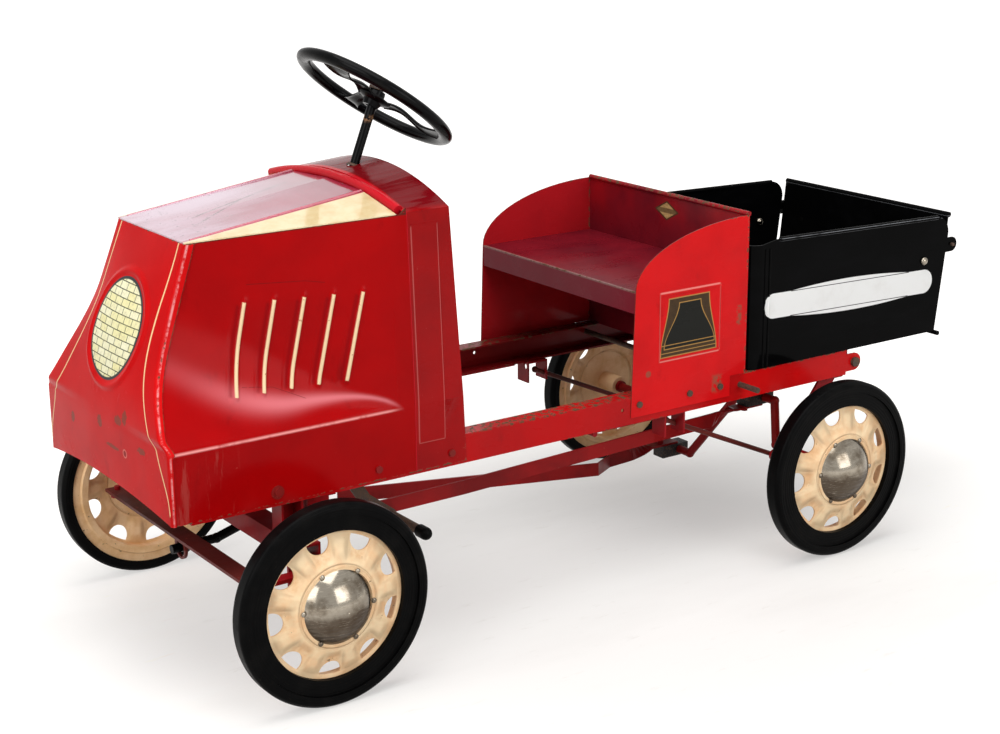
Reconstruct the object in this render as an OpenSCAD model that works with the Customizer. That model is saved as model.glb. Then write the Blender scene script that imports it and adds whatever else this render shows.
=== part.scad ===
// Pedal-driven toy dump truck of pressed steel, for a small child to ride.
// X points forward, Y to the driver's left, Z up. The rear axle, the ground and the
// middle of the frame are where the sizes below are measured from, and the finished
// truck is then set with the middle of its length over the origin.

/* [Overall] */
// Distance from rear axle to front axle
wheelbase = 820; // [800:2:860]
// Distance between the middle planes of two wheels on one axle
track = 522; // [516:2:550]
// Width over the two frame rails
frame_w = 356; // [350:1:360]
// Thickness of the pressed body sheet
sheet = 1.6; // [1.2:0.1:2.2]

/* [Wheels] */
// Diameter over the tyre
wheel_d = 254; // [246:1:262]
// Width of the solid tyre
tyre_w = 26; // [20:1:32]
// Diameter of the pressed disc where the tyre sits
rim_d = 185; // [180:1:190]
// Diameter of the rim's flange behind the tyre
flange_d = 224; // [210:1:230]
// Number of holes round the disc
disc_holes = 9; // [6:1:10]
// Diameter of the punch that cuts each hole
disc_hole_d = 29; // [22:1:32]
// Diameter of the hub cap
cap_d = 92; // [80:1:100]
// Height of the domed hub cap
cap_h = 24; // [16:1:30]
// Diameter of both axles where the wheels run
axle_d = 12.7; // [11:0.1:14]
// Radial running clearance of every shaft in its bore
running = 0.05; // [0.03:0.01:0.09]

/* [Frame] */
// Height of the rails' underside above the axle
rail_rise = 101.5; // [96:0.5:108]
// Height of a rail
rail_h = 38; // [34:1:42]
// Width of a rail's flanges
rail_flange = 25; // [20:1:28]
// Steel thickness of the rails
rail_t = 2.5; // [2:0.1:3.2]
// Length of rail behind the rear axle
rail_rear = 92; // [84:1:100]
// Length of rail ahead of the front axle
rail_front = 136; // [125:1:140]

/* [Pedal drive] */
// Distance from the axle to each crank pin
crank_throw = 66; // [58:1:68]
// Length of each crank pin
crank_pin_w = 70; // [66:1:80]
// Distance from the middle of the truck to each push rod's big end
big_end_y = 95; // [92:1:98]
// Distance from the middle of the truck to the front part of each push rod
push_rod_y = 50; // [44:1:52]
// Height of a push rod's flat bar
push_rod_h = 20; // [14:1:22]
// Distance from rear axle to the pedal rods' eyes
pedal_eye_x = 620; // [610:2:630]
// Height of the pedal rods' eyes above the ground
pedal_eye_z = 140; // [134:1:146]
// Diameter of the rod that the pedals swing on
pedal_rod_d = 10; // [8:0.5:12]
// Length of each foot bar
foot_bar_len = 88; // [76:1:90]

/* [Steering] */
// Diameter of the steering column
column_d = 12; // [10:0.5:13]
// Lean of the column toward the driver, in degrees from upright
column_lean = 21.6; // [20:0.2:23]
// Radius of the crank at the foot of the column
steering_crank = 78.5; // [74:0.5:82]
// Length of the steering arms and offset of the tie rod from the axle
steering_arm = 70; // [66:1:74]
// Distance from the middle of the truck to each kingpin
kingpin_y = 195; // [190:1:198]
// Diameter of the kingpins
kingpin_d = 10; // [8:0.5:12]
// Diameter of the steering wheel to the middle of its rim
steering_wheel_d = 204; // [190:2:216]
// Thickness of the steering wheel's rim
steering_rim_t = 20; // [16:1:22]
// Lean of the steering wheel, in degrees from level
steering_wheel_lean = 33; // [30:1:35]

/* [Hood] */
// Height of the straight skirt at the foot of the hood
skirt_h = 86; // [80:1:92]
// Height of the hood above its skirt at the nose
nose_h = 223; // [210:1:235]
// Backward slope of the nose over that height
nose_slope = 74; // [64:1:84]
// Width of the hood's top at the nose
nose_top_w = 188; // [170:2:200]
// Distance the nose reaches past the front axle
nose_reach = 161; // [158:1:170]
// Bulge of the nose forward at its middle
nose_bow = 18; // [8:1:24]
// Rise of the arched lower edge of the nose
nose_arch = 14; // [6:1:20]
// Width of the cowl at its shoulders
cowl_shoulder_w = 336; // [330:1:344]
// Rise of the shoulders from the nose to the cowl
cowl_shoulder_rise = 17; // [10:1:20]
// Rise of the cowl's arch above its shoulders
cowl_arch = 29; // [26:1:36]
// Length of the cowl along the truck
cowl_len = 75; // [70:1:82]
// Number of louvres on each side
louvres = 5; // [3:1:5]
// Distance between louvres
louvre_pitch = 35; // [30:1:36]

/* [Seat] */
// Distance from rear axle to the seat's back
seat_rear_x = 107; // [105:1:112]
// Length of the seat's deck
seat_len = 197; // [180:1:205]
// Height of the deck above the rails
seat_rise = 144; // [130:1:155]
// Height of the backrest above the deck
back_h = 80; // [70:1:95]
// Depth of the turned-down front lip
seat_lip = 30; // [22:1:36]

/* [Dump bed] */
// Clear gap between each side rail and the bed's side wall outside it
bed_side_gap = 0.4; // [0.3:0.1:2]
// Distance from rear axle forward to the bed's front wall
bed_front = 101; // [96:1:102]
// Distance from rear axle back to the foot of the tailgate
bed_rear = 272; // [260:1:280]
// Height of the side walls at the front
bed_wall_h = 183; // [170:1:190]
// Backward lean of the tailgate over the walls' height
tailgate_lean = 18; // [12:1:22]
// Distance from rear axle back to the tipping hinge
hinge_back = 108; // [104:1:112]
// Diameter of the tipping hinge bolts
hinge_bolt_d = 8; // [6:0.5:9]

/* [Hidden] */
$fn = 48;

// Heights and stations that follow from the sizes above
wheel_r = wheel_d / 2;
half_frame = frame_w / 2;
// Width over the bed's side walls, which hang outside the rails
bed_w = frame_w + 2 * (bed_side_gap + sheet);
rail_z = wheel_r + rail_rise;
rail_top = rail_z + rail_h;
flange_y = half_frame - rail_flange;
nose_x = wheelbase + nose_reach;
seat_gap = 0.3;

// Tailgate: its hinge stands behind the leaning rear edges of the side walls
bed_z = rail_top + seat_gap;
wall_top = bed_z + bed_wall_h;
hinge_rod_d = 5;
hinge_rod_h = 130;
hinge_rod_back = 13;
gate_hinge_z = bed_z + hinge_rod_h;
function gate_edge_x(z) = -bed_rear - tailgate_lean * (z - bed_z) / 164;
gate_hinge_x = gate_edge_x(gate_hinge_z) - hinge_rod_back;
ear_r = 11;
tail_x = gate_hinge_x - ear_r;
function bulge(t) = sin(162 * t);
nose_front = nose_x + nose_bow * bulge(1);
middle_x = (nose_front + tail_x) / 2;

enamel = [0.78, 0.09, 0.08];
maroon = [0.47, 0.08, 0.12];
cream = [0.93, 0.80, 0.58];
rubber = [0.06, 0.06, 0.06];
nickel = [0.55, 0.52, 0.47];
gloss_black = [0.04, 0.04, 0.045];
rust = [0.33, 0.19, 0.12];

// Moves what is measured from the rear axle to the finished truck's frame
module set_down() {
    translate([-middle_x, 0, 0]) children();
}

// Draws the children on the left and again, mirrored, on the right
module both_sides() {
    children();
    mirror([0, 1, 0]) children();
}

module right_hand() {
    mirror([0, 1, 0]) children();
}

// Extrudes a side view, drawn in X and Z, from y to y + w
module side_view(y, w) {
    translate([0, y + w, 0]) rotate([90, 0, 0]) linear_extrude(w) children();
}

// Extrudes a front view, drawn in Y and Z, from x to x + len
module front_view(x, len) {
    translate([x, 0, 0]) rotate([90, 0, 90]) linear_extrude(len) children();
}

// A cylinder across the truck from y to y + w
module cross_bar(x, z, y, w, d) {
    translate([x, y, z]) rotate([-90, 0, 0]) cylinder(h = w, d = d);
}

// A straight round rod between two points
module straight_rod(from, to, d) {
    run = to - from;
    translate(from) rotate([0, acos(run.z / norm(run)), atan2(run.y, run.x)])
        cylinder(h = norm(run), d = d);
}

// A bent round rod through a list of points, a little swollen at each bend
module rod(points, d) {
    last = len(points) - 1;
    for (i = [0 : last - 1]) straight_rod(points[i], points[i + 1], d);
    for (i = [1 : last - 1]) translate(points[i]) sphere(d = 1.12 * d);
}

// A solid between two grids of points, each a list of rows, near faces first
module skin(front, back) {
    rows = len(front);
    cols = len(front[0]);
    n = rows * cols;
    function at(i, j) = i * cols + j;
    quads = [for (i = [0 : rows - 2]) for (j = [0 : cols - 2])
        [at(i, j), at(i + 1, j), at(i + 1, j + 1), at(i, j + 1)]];
    rim = concat(
        [for (j = [0 : cols - 1]) at(0, j)],
        [for (i = [1 : rows - 1]) at(i, cols - 1)],
        [for (j = [cols - 2 : -1 : 0]) at(rows - 1, j)],
        [for (i = [rows - 2 : -1 : 1]) at(i, 0)]
    );
    m = len(rim);
    polyhedron(
        points = concat([for (r = front) for (p = r) p], [for (r = back) for (p = r) p]),
        faces = concat(
            [for (q = quads) [q[2], q[1], q[0]]], [for (q = quads) [q[3], q[2], q[0]]],
            [for (q = quads) [q[0] + n, q[1] + n, q[2] + n]],
            [for (q = quads) [q[0] + n, q[2] + n, q[3] + n]],
            [for (k = [0 : m - 1]) [rim[k] + n, rim[(k + 1) % m] + n, rim[(k + 1) % m]]],
            [for (k = [0 : m - 1]) [rim[k], rim[k] + n, rim[(k + 1) % m]]]
        ),
        convexity = 6
    );
}

// Frame rails: channels that open toward the middle, with an ear for the tipping hinge
hinge_z = rail_z + 17.5;
hinge_ear_r = 13;
cross_rod_x = seat_rear_x + 8;
cross_rod_z = rail_z + 22;
cross_rod_d = 8;
spare_hole_x = 323;

module left_rail_shape() {
    difference() {
        union() {
            front_view(-rail_rear, rail_rear + wheelbase + rail_front) {
                translate([half_frame - rail_t, rail_z]) square([rail_t, rail_h]);
                translate([flange_y, rail_z]) square([rail_flange, rail_t]);
                translate([flange_y, rail_top - rail_t]) square([rail_flange, rail_t]);
            }
            side_view(half_frame - rail_t, rail_t) {
                translate([-hinge_back, hinge_z]) circle(hinge_ear_r);
                translate([-hinge_back, hinge_z - hinge_ear_r])
                    square([hinge_back - rail_rear + 1, 2 * hinge_ear_r]);
            }
        }
        cross_bar(-hinge_back, hinge_z, half_frame - rail_t - 1, rail_t + 2, hinge_bolt_d);
        cross_bar(cross_rod_x, cross_rod_z, half_frame - rail_t - 1, rail_t + 2,
            cross_rod_d + 0.1);
        cross_bar(spare_hole_x, cross_rod_z, half_frame - rail_t - 1, rail_t + 2, 5);
    }
}

module left_rail() color(enamel) set_down() left_rail_shape();
module right_rail() color(enamel) set_down() right_hand() left_rail_shape();

// Angles between the rails, seated on their lower flanges
angle_leg = 25;
cross_member_x = [12 - rail_rear, wheelbase + 110];

module cross_members() color(enamel) set_down() {
    reach = half_frame - rail_t;
    for (x = cross_member_x) translate([x, -reach, rail_z + rail_t]) {
        cube([angle_leg, 2 * reach, rail_t]);
        cube([rail_t, 2 * reach, angle_leg]);
    }
}

// Front axle: an upturned channel with a folded fork at each end for its knuckle
beam_w = 30;
beam_h = 26;
beam_t = 3;
beam_z = wheel_r + 31;
fork_t = 4;
fork_z = wheel_r - 31;
fork_w = 24;
fork_back = 23;
beam_reach = kingpin_y + 14;

module front_axle_beam() color(enamel) set_down() difference() {
    union() {
        translate([wheelbase, 0, 0]) {
            side_view(-beam_reach, 2 * beam_reach) {
                translate([-beam_w / 2, beam_z + beam_h - beam_t]) square([beam_w, beam_t]);
                for (x = [-beam_w / 2, beam_w / 2 - beam_t])
                    translate([x, beam_z]) square([beam_t, beam_h]);
            }
            both_sides() {
                for (z = [beam_z - fork_t, fork_z])
                    translate([-fork_w / 2, kingpin_y - fork_back, z])
                        cube([fork_w, fork_back + 12, fork_t]);
                translate([-fork_w / 2, kingpin_y - fork_back, fork_z])
                    cube([fork_w, fork_t, beam_z - fork_z]);
                translate([-beam_w / 2, kingpin_y - fork_back, beam_z - fork_t])
                    cube([beam_w, fork_back + 12, fork_t]);
            }
        }
    }
    both_sides() translate([wheelbase, kingpin_y, fork_z - 1])
        cylinder(h = beam_z - fork_z + 2, d = kingpin_d);
}

// Kingpins: headed pins through the forks
module kingpins() color(rust) set_down() both_sides()
    translate([wheelbase, kingpin_y, 0]) {
        translate([0, 0, fork_z - 5]) cylinder(h = beam_z - fork_z + 5, d = kingpin_d);
        translate([0, 0, beam_z]) cylinder(h = 4, d = kingpin_d + 6);
        translate([0, 0, fork_z - 5]) cylinder(h = 5, d = kingpin_d + 5);
    }

// Stands: short posts of channel that carry the frame on the front axle
stand_y = half_frame - rail_flange - 8;
stand_t = 3;

module axle_stands() color(enamel) set_down() both_sides()
    translate([wheelbase, stand_y, beam_z + beam_h]) {
        height = rail_z - beam_z - beam_h;
        linear_extrude(height) {
            translate([-beam_w / 2, 0]) square([beam_w, stand_t]);
            for (x = [-beam_w / 2, beam_w / 2 - stand_t])
                translate([x, 0]) square([stand_t, rail_flange]);
        }
        translate([-beam_w / 2, 0, height - stand_t]) cube([beam_w, rail_flange, stand_t]);
    }

// Column axis, given by its height where it leaves the cowl
cowl_crown_z = rail_z + 3.5 + skirt_h + nose_h + cowl_shoulder_rise + cowl_arch;
column_top_x = wheelbase - 197;
function column_x(z) = column_top_x + (cowl_crown_z - z) * tan(column_lean);
bracket_z = rail_z - 29;
bush_len = 24;
bush_d = column_d + 10;
strap_w = 30;
strap_t = 4;

// Places the children on the column at a height, with +Z up along it
module on_column(z) {
    translate([column_x(z), 0, z]) rotate([0, -column_lean, 0]) children();
}

// Bracket: a strap hung under the rails that holds the foot of the column in a bush
module column_bracket() color(enamel) set_down() difference() {
    union() {
        x = column_x(bracket_z) - strap_w / 2;
        side_y = flange_y + 2;
        translate([x, -side_y, bracket_z - strap_t / 2]) cube([strap_w, 2 * side_y, strap_t]);
        both_sides() {
            translate([x, side_y - strap_t, bracket_z - strap_t / 2])
                cube([strap_w, strap_t, rail_z - bracket_z + strap_t / 2]);
            translate([x, side_y - strap_t, rail_z - strap_t])
                cube([strap_w, rail_flange - 4, strap_t]);
        }
        on_column(bracket_z) translate([0, 0, -bush_len / 2])
            cylinder(h = bush_len, d = bush_d);
    }
    on_column(bracket_z) translate([0, 0, -bush_len])
        cylinder(h = 2 * bush_len, d = column_d + 2 * running);
}

// Collar: the bush that the column leaves the cowl through
collar_h = 3;
collar_d = 20;

module column_collar() color(gloss_black) set_down() difference() {
    on_column(cowl_crown_z + 0.5) cylinder(h = collar_h, d1 = collar_d, d2 = collar_d - 4);
    on_column(cowl_crown_z - 20) cylinder(h = 60, d = column_d + 2 * running);
    translate([column_top_x, 0, cowl_crown_z - 50]) cube([100, 100, 100], center = true);
}

// Pedal pivot: a rod carried by two brackets that stand on the rails inside the hood
pedal_pivot_x = wheelbase - 23;
pedal_pivot_z = rail_z + 151.5;
bracket_y = 118;
bracket_t = 4;
bracket_w = 28;

module pedal_brackets() color(enamel) set_down() both_sides() difference() {
    union() {
        translate([pedal_pivot_x - bracket_w / 2, bracket_y, rail_top])
            cube([bracket_w, half_frame - rail_t - bracket_y, bracket_t]);
        side_view(bracket_y, bracket_t) {
            translate([pedal_pivot_x - bracket_w / 2, rail_top])
                square([bracket_w, pedal_pivot_z - rail_top]);
            translate([pedal_pivot_x, pedal_pivot_z]) circle(bracket_w / 2);
        }
    }
    cross_bar(pedal_pivot_x, pedal_pivot_z, bracket_y - 1, bracket_t + 2, pedal_rod_d);
}

module pedal_rod() color(rust) set_down() {
    reach = bracket_y + bracket_t + 6;
    cross_bar(pedal_pivot_x, pedal_pivot_z, -reach, 2 * reach, pedal_rod_d);
}

// Rear axle hangers: pressed plates under the rails, each with a bush for the axle
hanger_y = half_frame - 20;
hanger_t = 4;
hanger_w = 32;
hanger_back = 76;
hanger_foot = 14;
axle_bush_d = 24;
axle_bush_w = 18;
hanger_eye_r = axle_bush_d / 2 + 4;

module left_hanger_shape() difference() {
    union() {
        side_view(hanger_y, hanger_t) {
            polygon([
                [-hanger_back - hanger_w / 2, rail_z], [-hanger_back + hanger_w / 2, rail_z],
                [hanger_eye_r - 1, wheel_r + 6], [1 - hanger_eye_r, wheel_r - 4]
            ]);
            translate([0, wheel_r]) circle(hanger_eye_r);
            hull() {
                translate([4, wheel_r]) circle(10);
                translate([brace_to.x, brace_to.z]) circle(8);
            }
        }
        translate([-hanger_back - hanger_w / 2, hanger_y, rail_z - hanger_t])
            cube([hanger_w, hanger_foot, hanger_t]);
        cross_bar(0, wheel_r, hanger_y + hanger_t / 2 - axle_bush_w / 2, axle_bush_w,
            axle_bush_d);
    }
    cross_bar(0, wheel_r, hanger_y - 20, 40, axle_d + 2 * running);
}

module left_axle_hanger() color(enamel) set_down() left_hanger_shape();
module right_axle_hanger() color(enamel) set_down() right_hand() left_hanger_shape();

// Braces: bracket folded as an upturned channel under each rail, and a rod to the hanger
brace_x = 210;
brace_box = 36;
brace_drop = 32;
brace_tongue = 120;
brace_rod_d = 7;
brace_y = hanger_y - brace_rod_d / 2 - 0.3;
brace_from = [brace_x + 18, brace_y, rail_z - 15];
brace_to = [28, brace_y, wheel_r - 3];

module brace_brackets() color(enamel) set_down() both_sides() difference() {
    union() {
        translate([brace_x, flange_y, rail_z - rail_t])
            cube([brace_box + brace_tongue, rail_flange - 4, rail_t]);
        for (x = [brace_x, brace_x + brace_box - rail_t])
            translate([x, flange_y - 6, rail_z - brace_drop])
                cube([rail_t, rail_flange + 2, brace_drop]);
        translate([brace_x, flange_y - 6, rail_z - rail_t]) cube([brace_box, 8, rail_t]);
        translate([brace_x + brace_box + brace_tongue, flange_y, rail_z - 4])
            rotate([-90, 0, 0]) cylinder(h = rail_flange - 4, r = 4);
    }
    straight_rod(brace_from + (brace_from - brace_to) * 0.2, brace_to, brace_rod_d + 0.6);
}

module brace_rods() color(maroon) set_down() both_sides() {
    rod([brace_from, brace_to], brace_rod_d);
    translate(brace_to) sphere(d = brace_rod_d + 0.3);
    translate(brace_from) sphere(d = brace_rod_d + 3);
}

// Cross rod: a plain rod through both rails under the front of the bed
module cross_rod() color(rust) set_down() {
    reach = half_frame + 38;
    cross_bar(cross_rod_x, cross_rod_z, -reach, 2 * reach, cross_rod_d);
}

// Tipping hinge bolts: head outside the rail's ear, nut inside the bed's lug
lug_y = flange_y - 4;
lug_t = 3;

module hinge_bolts() color(nickel) set_down() both_sides() {
    cross_bar(-hinge_back, hinge_z, lug_y - 9, half_frame - lug_y + 9, hinge_bolt_d);
    cross_bar(-hinge_back, hinge_z, half_frame, 5, hinge_bolt_d + 6);
    translate([-hinge_back, lug_y - 8, hinge_z]) rotate([-90, 0, 0])
        cylinder(h = 7, d = hinge_bolt_d + 6, $fn = 6);
}

// Seat: deck with a turned-down lip, between side panels that lap over the rails
deck_z = rail_top + seat_rise;
seat_front_x = seat_rear_x + seat_len;
lap_rear_x = seat_rear_x + 28;
lap_z = rail_z + 9;
lap_lean = 6;

function arc_points(cx, cz, rx, rz, from, to, n) =
    [for (i = [0 : n]) let (a = from + (to - from) * i / n) [cx + rx * cos(a), cz + rz * sin(a)]];

module seat_side_outline() {
    polygon(concat(
        arc_points(seat_rear_x, deck_z, seat_len, back_h, 0, 90, 16),
        [
            [seat_rear_x, rail_top + 0.2], [lap_rear_x, rail_top + 0.2],
            [lap_rear_x, lap_z], [seat_front_x + lap_lean, lap_z]
        ]
    ));
}

module left_seat_side_shape() {
    difference() {
        side_view(half_frame, sheet) seat_side_outline();
        for (x = [seat_front_x - 8, seat_front_x - 96, seat_rear_x + 46])
            cross_bar(x, rail_z + 26, half_frame - 1, sheet + 2, 4.4);
    }
    embossed_frame(seat_rear_x + 46, rail_z + 80, 110, 93);
}

// A narrow raised border pressed out of the side panel
module embossed_frame(x, z, w, h) {
    line = 3;
    side_view(half_frame + sheet - 0.01, 0.8) translate([x, z]) difference() {
        square([w, h]);
        translate([line, line]) square([w - 2 * line, h - 2 * line]);
    }
}

module left_seat_side() color(enamel) set_down() left_seat_side_shape();
module right_seat_side() color(enamel) set_down() right_hand() left_seat_side_shape();

module seat_deck() color(maroon) set_down() {
    w = frame_w;
    translate([seat_rear_x, -w / 2, deck_z - sheet]) cube([seat_len, w, sheet]);
    translate([seat_front_x - sheet, -w / 2, deck_z - seat_lip]) cube([sheet, w, seat_lip]);
    both_sides() translate([seat_rear_x, w / 2 - sheet, deck_z - 16])
        cube([seat_len - sheet, sheet, 16]);
    translate([seat_front_x - 12, -w / 2 + sheet, deck_z - seat_lip])
        cube([12, w - 2 * sheet, sheet]);
}

// Backrest: flat sheet with a rolled top edge and feet on the rails
roll_d = 7;
module seat_back() color(maroon) set_down() {
    translate([seat_rear_x - sheet, -half_frame, rail_top])
        cube([sheet, frame_w, deck_z + back_h - rail_top - 1]);
    cross_bar(seat_rear_x - sheet / 2, deck_z + back_h + 1, -half_frame, frame_w, roll_d);
}

module seat_screws() color(rust) set_down() both_sides()
    for (x = [seat_front_x - 8, seat_front_x - 96, seat_rear_x + 46]) {
        cross_bar(x, rail_z + 26, half_frame, sheet + 1, 4.4);
        cross_bar(x, rail_z + 26, half_frame + sheet, 2.4, 9);
    }

// Hood: each height on the nose has its own width and its own place along the truck.
// t runs from 0 at the top edge to 1 at the crease above the skirt, and u from 0 at
// the cowl's seam to 1 at the nose.
skirt_z = rail_z + 3.5;
crease_z = skirt_z + skirt_h;
nose_top_z = crease_z + nose_h;
shoulder_z = nose_top_z + cowl_shoulder_rise;
seam_x = wheelbase - 170;
nose_top_x = nose_x - nose_slope;
skirt_y = half_frame + sheet;
function mix(a, b, u) = a + (b - a) * u;
function nose_edge_x(t) = mix(nose_top_x, nose_x, t + 0.3 * t * t * (1 - t));
function top_z(u) = mix(shoulder_z, nose_top_z, u);
function top_y(u) = mix(cowl_shoulder_w / 2, nose_top_w / 2, u);
function side_y(u, t) = top_y(u) + (skirt_y - top_y(u)) * pow(t, 1 + 1.5 * u);
hood_rows = 10;
hood_cols = 12;

// One point on the outside of the hood's left side
function side_point(u, t) = [
    mix(seam_x, nose_edge_x(t) - sheet, u), side_y(u, t),
    mix(top_z(u) - sheet, crease_z, t)
];

// One louvre: a long pressed rib, leaning with the nose
louvre_top_t = 0.36;
louvre_low_t = 0.80;
louvre_front_x = wheelbase + 42;
louvre_lean = 28;

module louvre(x) {
    function u_at(px, t) = (px - seam_x) / (nose_edge_x(t) - sheet - seam_x);
    function rib(i) = let (
        t = mix(louvre_top_t, louvre_low_t, i / 2),
        px = x + louvre_lean * (i / 2 - 0.5)
    ) side_point(u_at(px, t), t) - [0, 1.4, 0];
    for (i = [0, 1]) hull() for (p = [rib(i), rib(i + 1)])
        translate(p) sphere(r = 3.6, $fn = 12);
}

module left_hood_side_shape() {
    cols = [for (i = [0 : hood_cols]) i / hood_cols];
    rows = concat([for (j = [0 : hood_rows]) j / hood_rows]);
    outer = [for (u = cols) concat(
        [for (t = rows) side_point(u, t)],
        [[mix(seam_x, nose_x - sheet, u), skirt_y, skirt_z]]
    )];
    inner = [for (r = outer) [for (p = r) p - [0, sheet, 0]]];
    skin(outer, inner);
    for (i = [0 : louvres - 1]) louvre(louvre_front_x - i * louvre_pitch);
}

module left_hood_side() color(enamel) set_down() left_hood_side_shape();
module right_hood_side() color(enamel) set_down() right_hand() left_hood_side_shape();

// Nose: a sloping panel, bowed forward at its middle, with an arched lower edge
nose_cols = 16;
function nose_row(t, half_w) = [for (k = [0 : nose_cols])
    let (s = 2 * k / nose_cols - 1)
    [nose_edge_x(t) + nose_bow * (1 - s * s) * bulge(t), s * half_w,
        mix(nose_top_z - sheet, crease_z, t)]];

// The nose's sheet, from raise in front of its face to depth behind it
module nose_skin(raise, depth) {
    low = [for (k = [0 : nose_cols]) let (s = 2 * k / nose_cols - 1)
        [nose_x + nose_bow * (1 - s * s) * bulge(1), s * skirt_y,
            skirt_z + nose_arch * (1 - s * s)]];
    face = concat([for (j = [0 : hood_rows]) nose_row(j / hood_rows, side_y(1, j / hood_rows))],
        [low]);
    skin([for (r = face) [for (p = r) p + [raise, 0, 0]]],
        [for (r = face) [for (p = r) p - [depth, 0, 0]]]);
}

// Raised ring round the place of the emblem
emblem_w = 136;
emblem_h = 146;
emblem_t = 0.52;
module emblem_ring() intersection() {
    nose_skin(2, sheet / 2);
    translate([nose_edge_x(emblem_t), 0, mix(nose_top_z, crease_z, emblem_t)])
        rotate([0, -atan(nose_slope / nose_h), 0]) rotate([90, 0, 90])
            translate([0, 0, -60]) linear_extrude(120) difference() {
                scale([emblem_w / emblem_h, 1]) circle(d = emblem_h);
                scale([(emblem_w - 11) / (emblem_h - 11), 1]) circle(d = emblem_h - 11);
            }
}

module nose_panel() color(enamel) set_down() {
    nose_skin(0, sheet);
    emblem_ring();
}

// Hood top: a flat middle that rises to the cowl, and a facet down to each shoulder
top_flat_y = 88;
top_rise = 17;
top_rear = 12.6;
function top_row(u) = let (
    x = mix(seam_x, nose_top_x, u), z = top_z(u), y = top_y(u),
    flat = min(top_flat_y, y - 2), zc = z + top_rise * (1 - u)
) [[x, -y, z], [x, -flat, zc], [x, 0, zc + 4 * (1 - u)], [x, flat, zc], [x, y, z]];

module hood_top() color(maroon) set_down() {
    rear = top_rear / (nose_top_x - seam_x);
    upper = [for (i = [0 : 8]) top_row(mix(rear, 1, i / 8))];
    lower = [for (r = upper) [for (p = r) p - [0, 0, sheet]]];
    skin(upper, lower);
    both_sides() straight_rod(
        [seam_x + top_rear + 2, top_flat_y, top_z(0) + top_rise - 1.4],
        [nose_top_x - 10, min(top_flat_y, nose_top_w / 2 - 2), nose_top_z + 0.2], 4);
}

// Cowl: a pressed hoop with leaning sides and an arched top
cowl_x = seam_x - cowl_len;
cowl_rake = 15;
arch_r = (pow(cowl_shoulder_w / 2, 2) + pow(cowl_arch, 2)) / (2 * cowl_arch);
bead_half = 6;
bead_z = cowl_crown_z - 7;
bead_arch_r = (pow(cowl_shoulder_w / 2, 2) + pow(bead_z - shoulder_z, 2))
    / (2 * (bead_z - shoulder_z));
bead_angle = 14.2;
module cowl_outline(grow) {
    shoulder_y = cowl_shoulder_w / 2 + grow;
    intersection() {
        translate([0, cowl_crown_z - arch_r]) circle(arch_r + grow, $fn = 180);
        polygon([
            [skirt_y + grow, skirt_z], [skirt_y + grow, crease_z],
            [shoulder_y, shoulder_z], [shoulder_y, cowl_crown_z + 5],
            [-shoulder_y, cowl_crown_z + 5], [-shoulder_y, shoulder_z],
            [-skirt_y - grow, crease_z], [-skirt_y - grow, skirt_z]
        ]);
    }
}

module cowl() color(enamel) set_down() difference() {
    union() {
        difference() {
            union() {
                front_view(cowl_x, cowl_len) cowl_outline(0);
                intersection() {
                    front_view(cowl_x + 32, 38) cowl_outline(0.8);
                    translate([cowl_x, -200, skirt_z + 36]) cube([cowl_len, 400, 274]);
                }
            }
            front_view(cowl_x - 1, cowl_len + 2) cowl_outline(-sheet);
        }
        front_view(seam_x - 1, 5) difference() {
            cowl_outline(0);
            translate([0, bead_z - bead_arch_r]) circle(bead_arch_r, $fn = 180);
            translate([-400, 0]) square([800, shoulder_z]);
        }
        translate([seam_x + bead_half, 0, bead_z - bead_arch_r]) rotate([0, 90, 0])
            rotate([0, 0, 180 - bead_angle]) rotate_extrude(angle = 2 * bead_angle, $fn = 180)
                translate([bead_arch_r, 0]) circle(bead_half);
    }
    translate([cowl_x, -300, skirt_z])
        rotate([0, atan(cowl_rake / (cowl_crown_z - skirt_z)), 0])
            translate([-60, 0, -20]) cube([60, 600, 500]);
    translate([0, -300, skirt_z - 20]) cube([2000, 600, 20]);
    on_column(cowl_crown_z - 20) cylinder(h = 60, d = column_d + 4);
}

// Bolts that hold the hood to the rails, with a washer under the front ones
hood_bolt_x = [wheelbase + 24, wheelbase - 115.5, wheelbase - 222.5];
hood_bolt_z = rail_z + 18;
module hood_bolts() color(rust) set_down() both_sides() {
    for (x = hood_bolt_x) cross_bar(x, hood_bolt_z, skirt_y, 3, 9);
    cross_bar(hood_bolt_x[0], hood_bolt_z, skirt_y, 1, 17);
}

// Wheels: the disc's hub runs on the axle, and the tyre sits in the disc's rim
hub_d = 30;
hub_back = 26;
dish = 14;
rim_back = tyre_w / 2 - 1;
disc_t = 2;
disc_hole_r = 84;
hub_bore = axle_d + 2 * running;

// Sets a wheel, drawn with +Z outward from its middle plane, on the left of the truck
module left_wheel_at(x) {
    translate([x, track / 2, wheel_r]) rotate([-90, 0, 0]) children();
}

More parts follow.
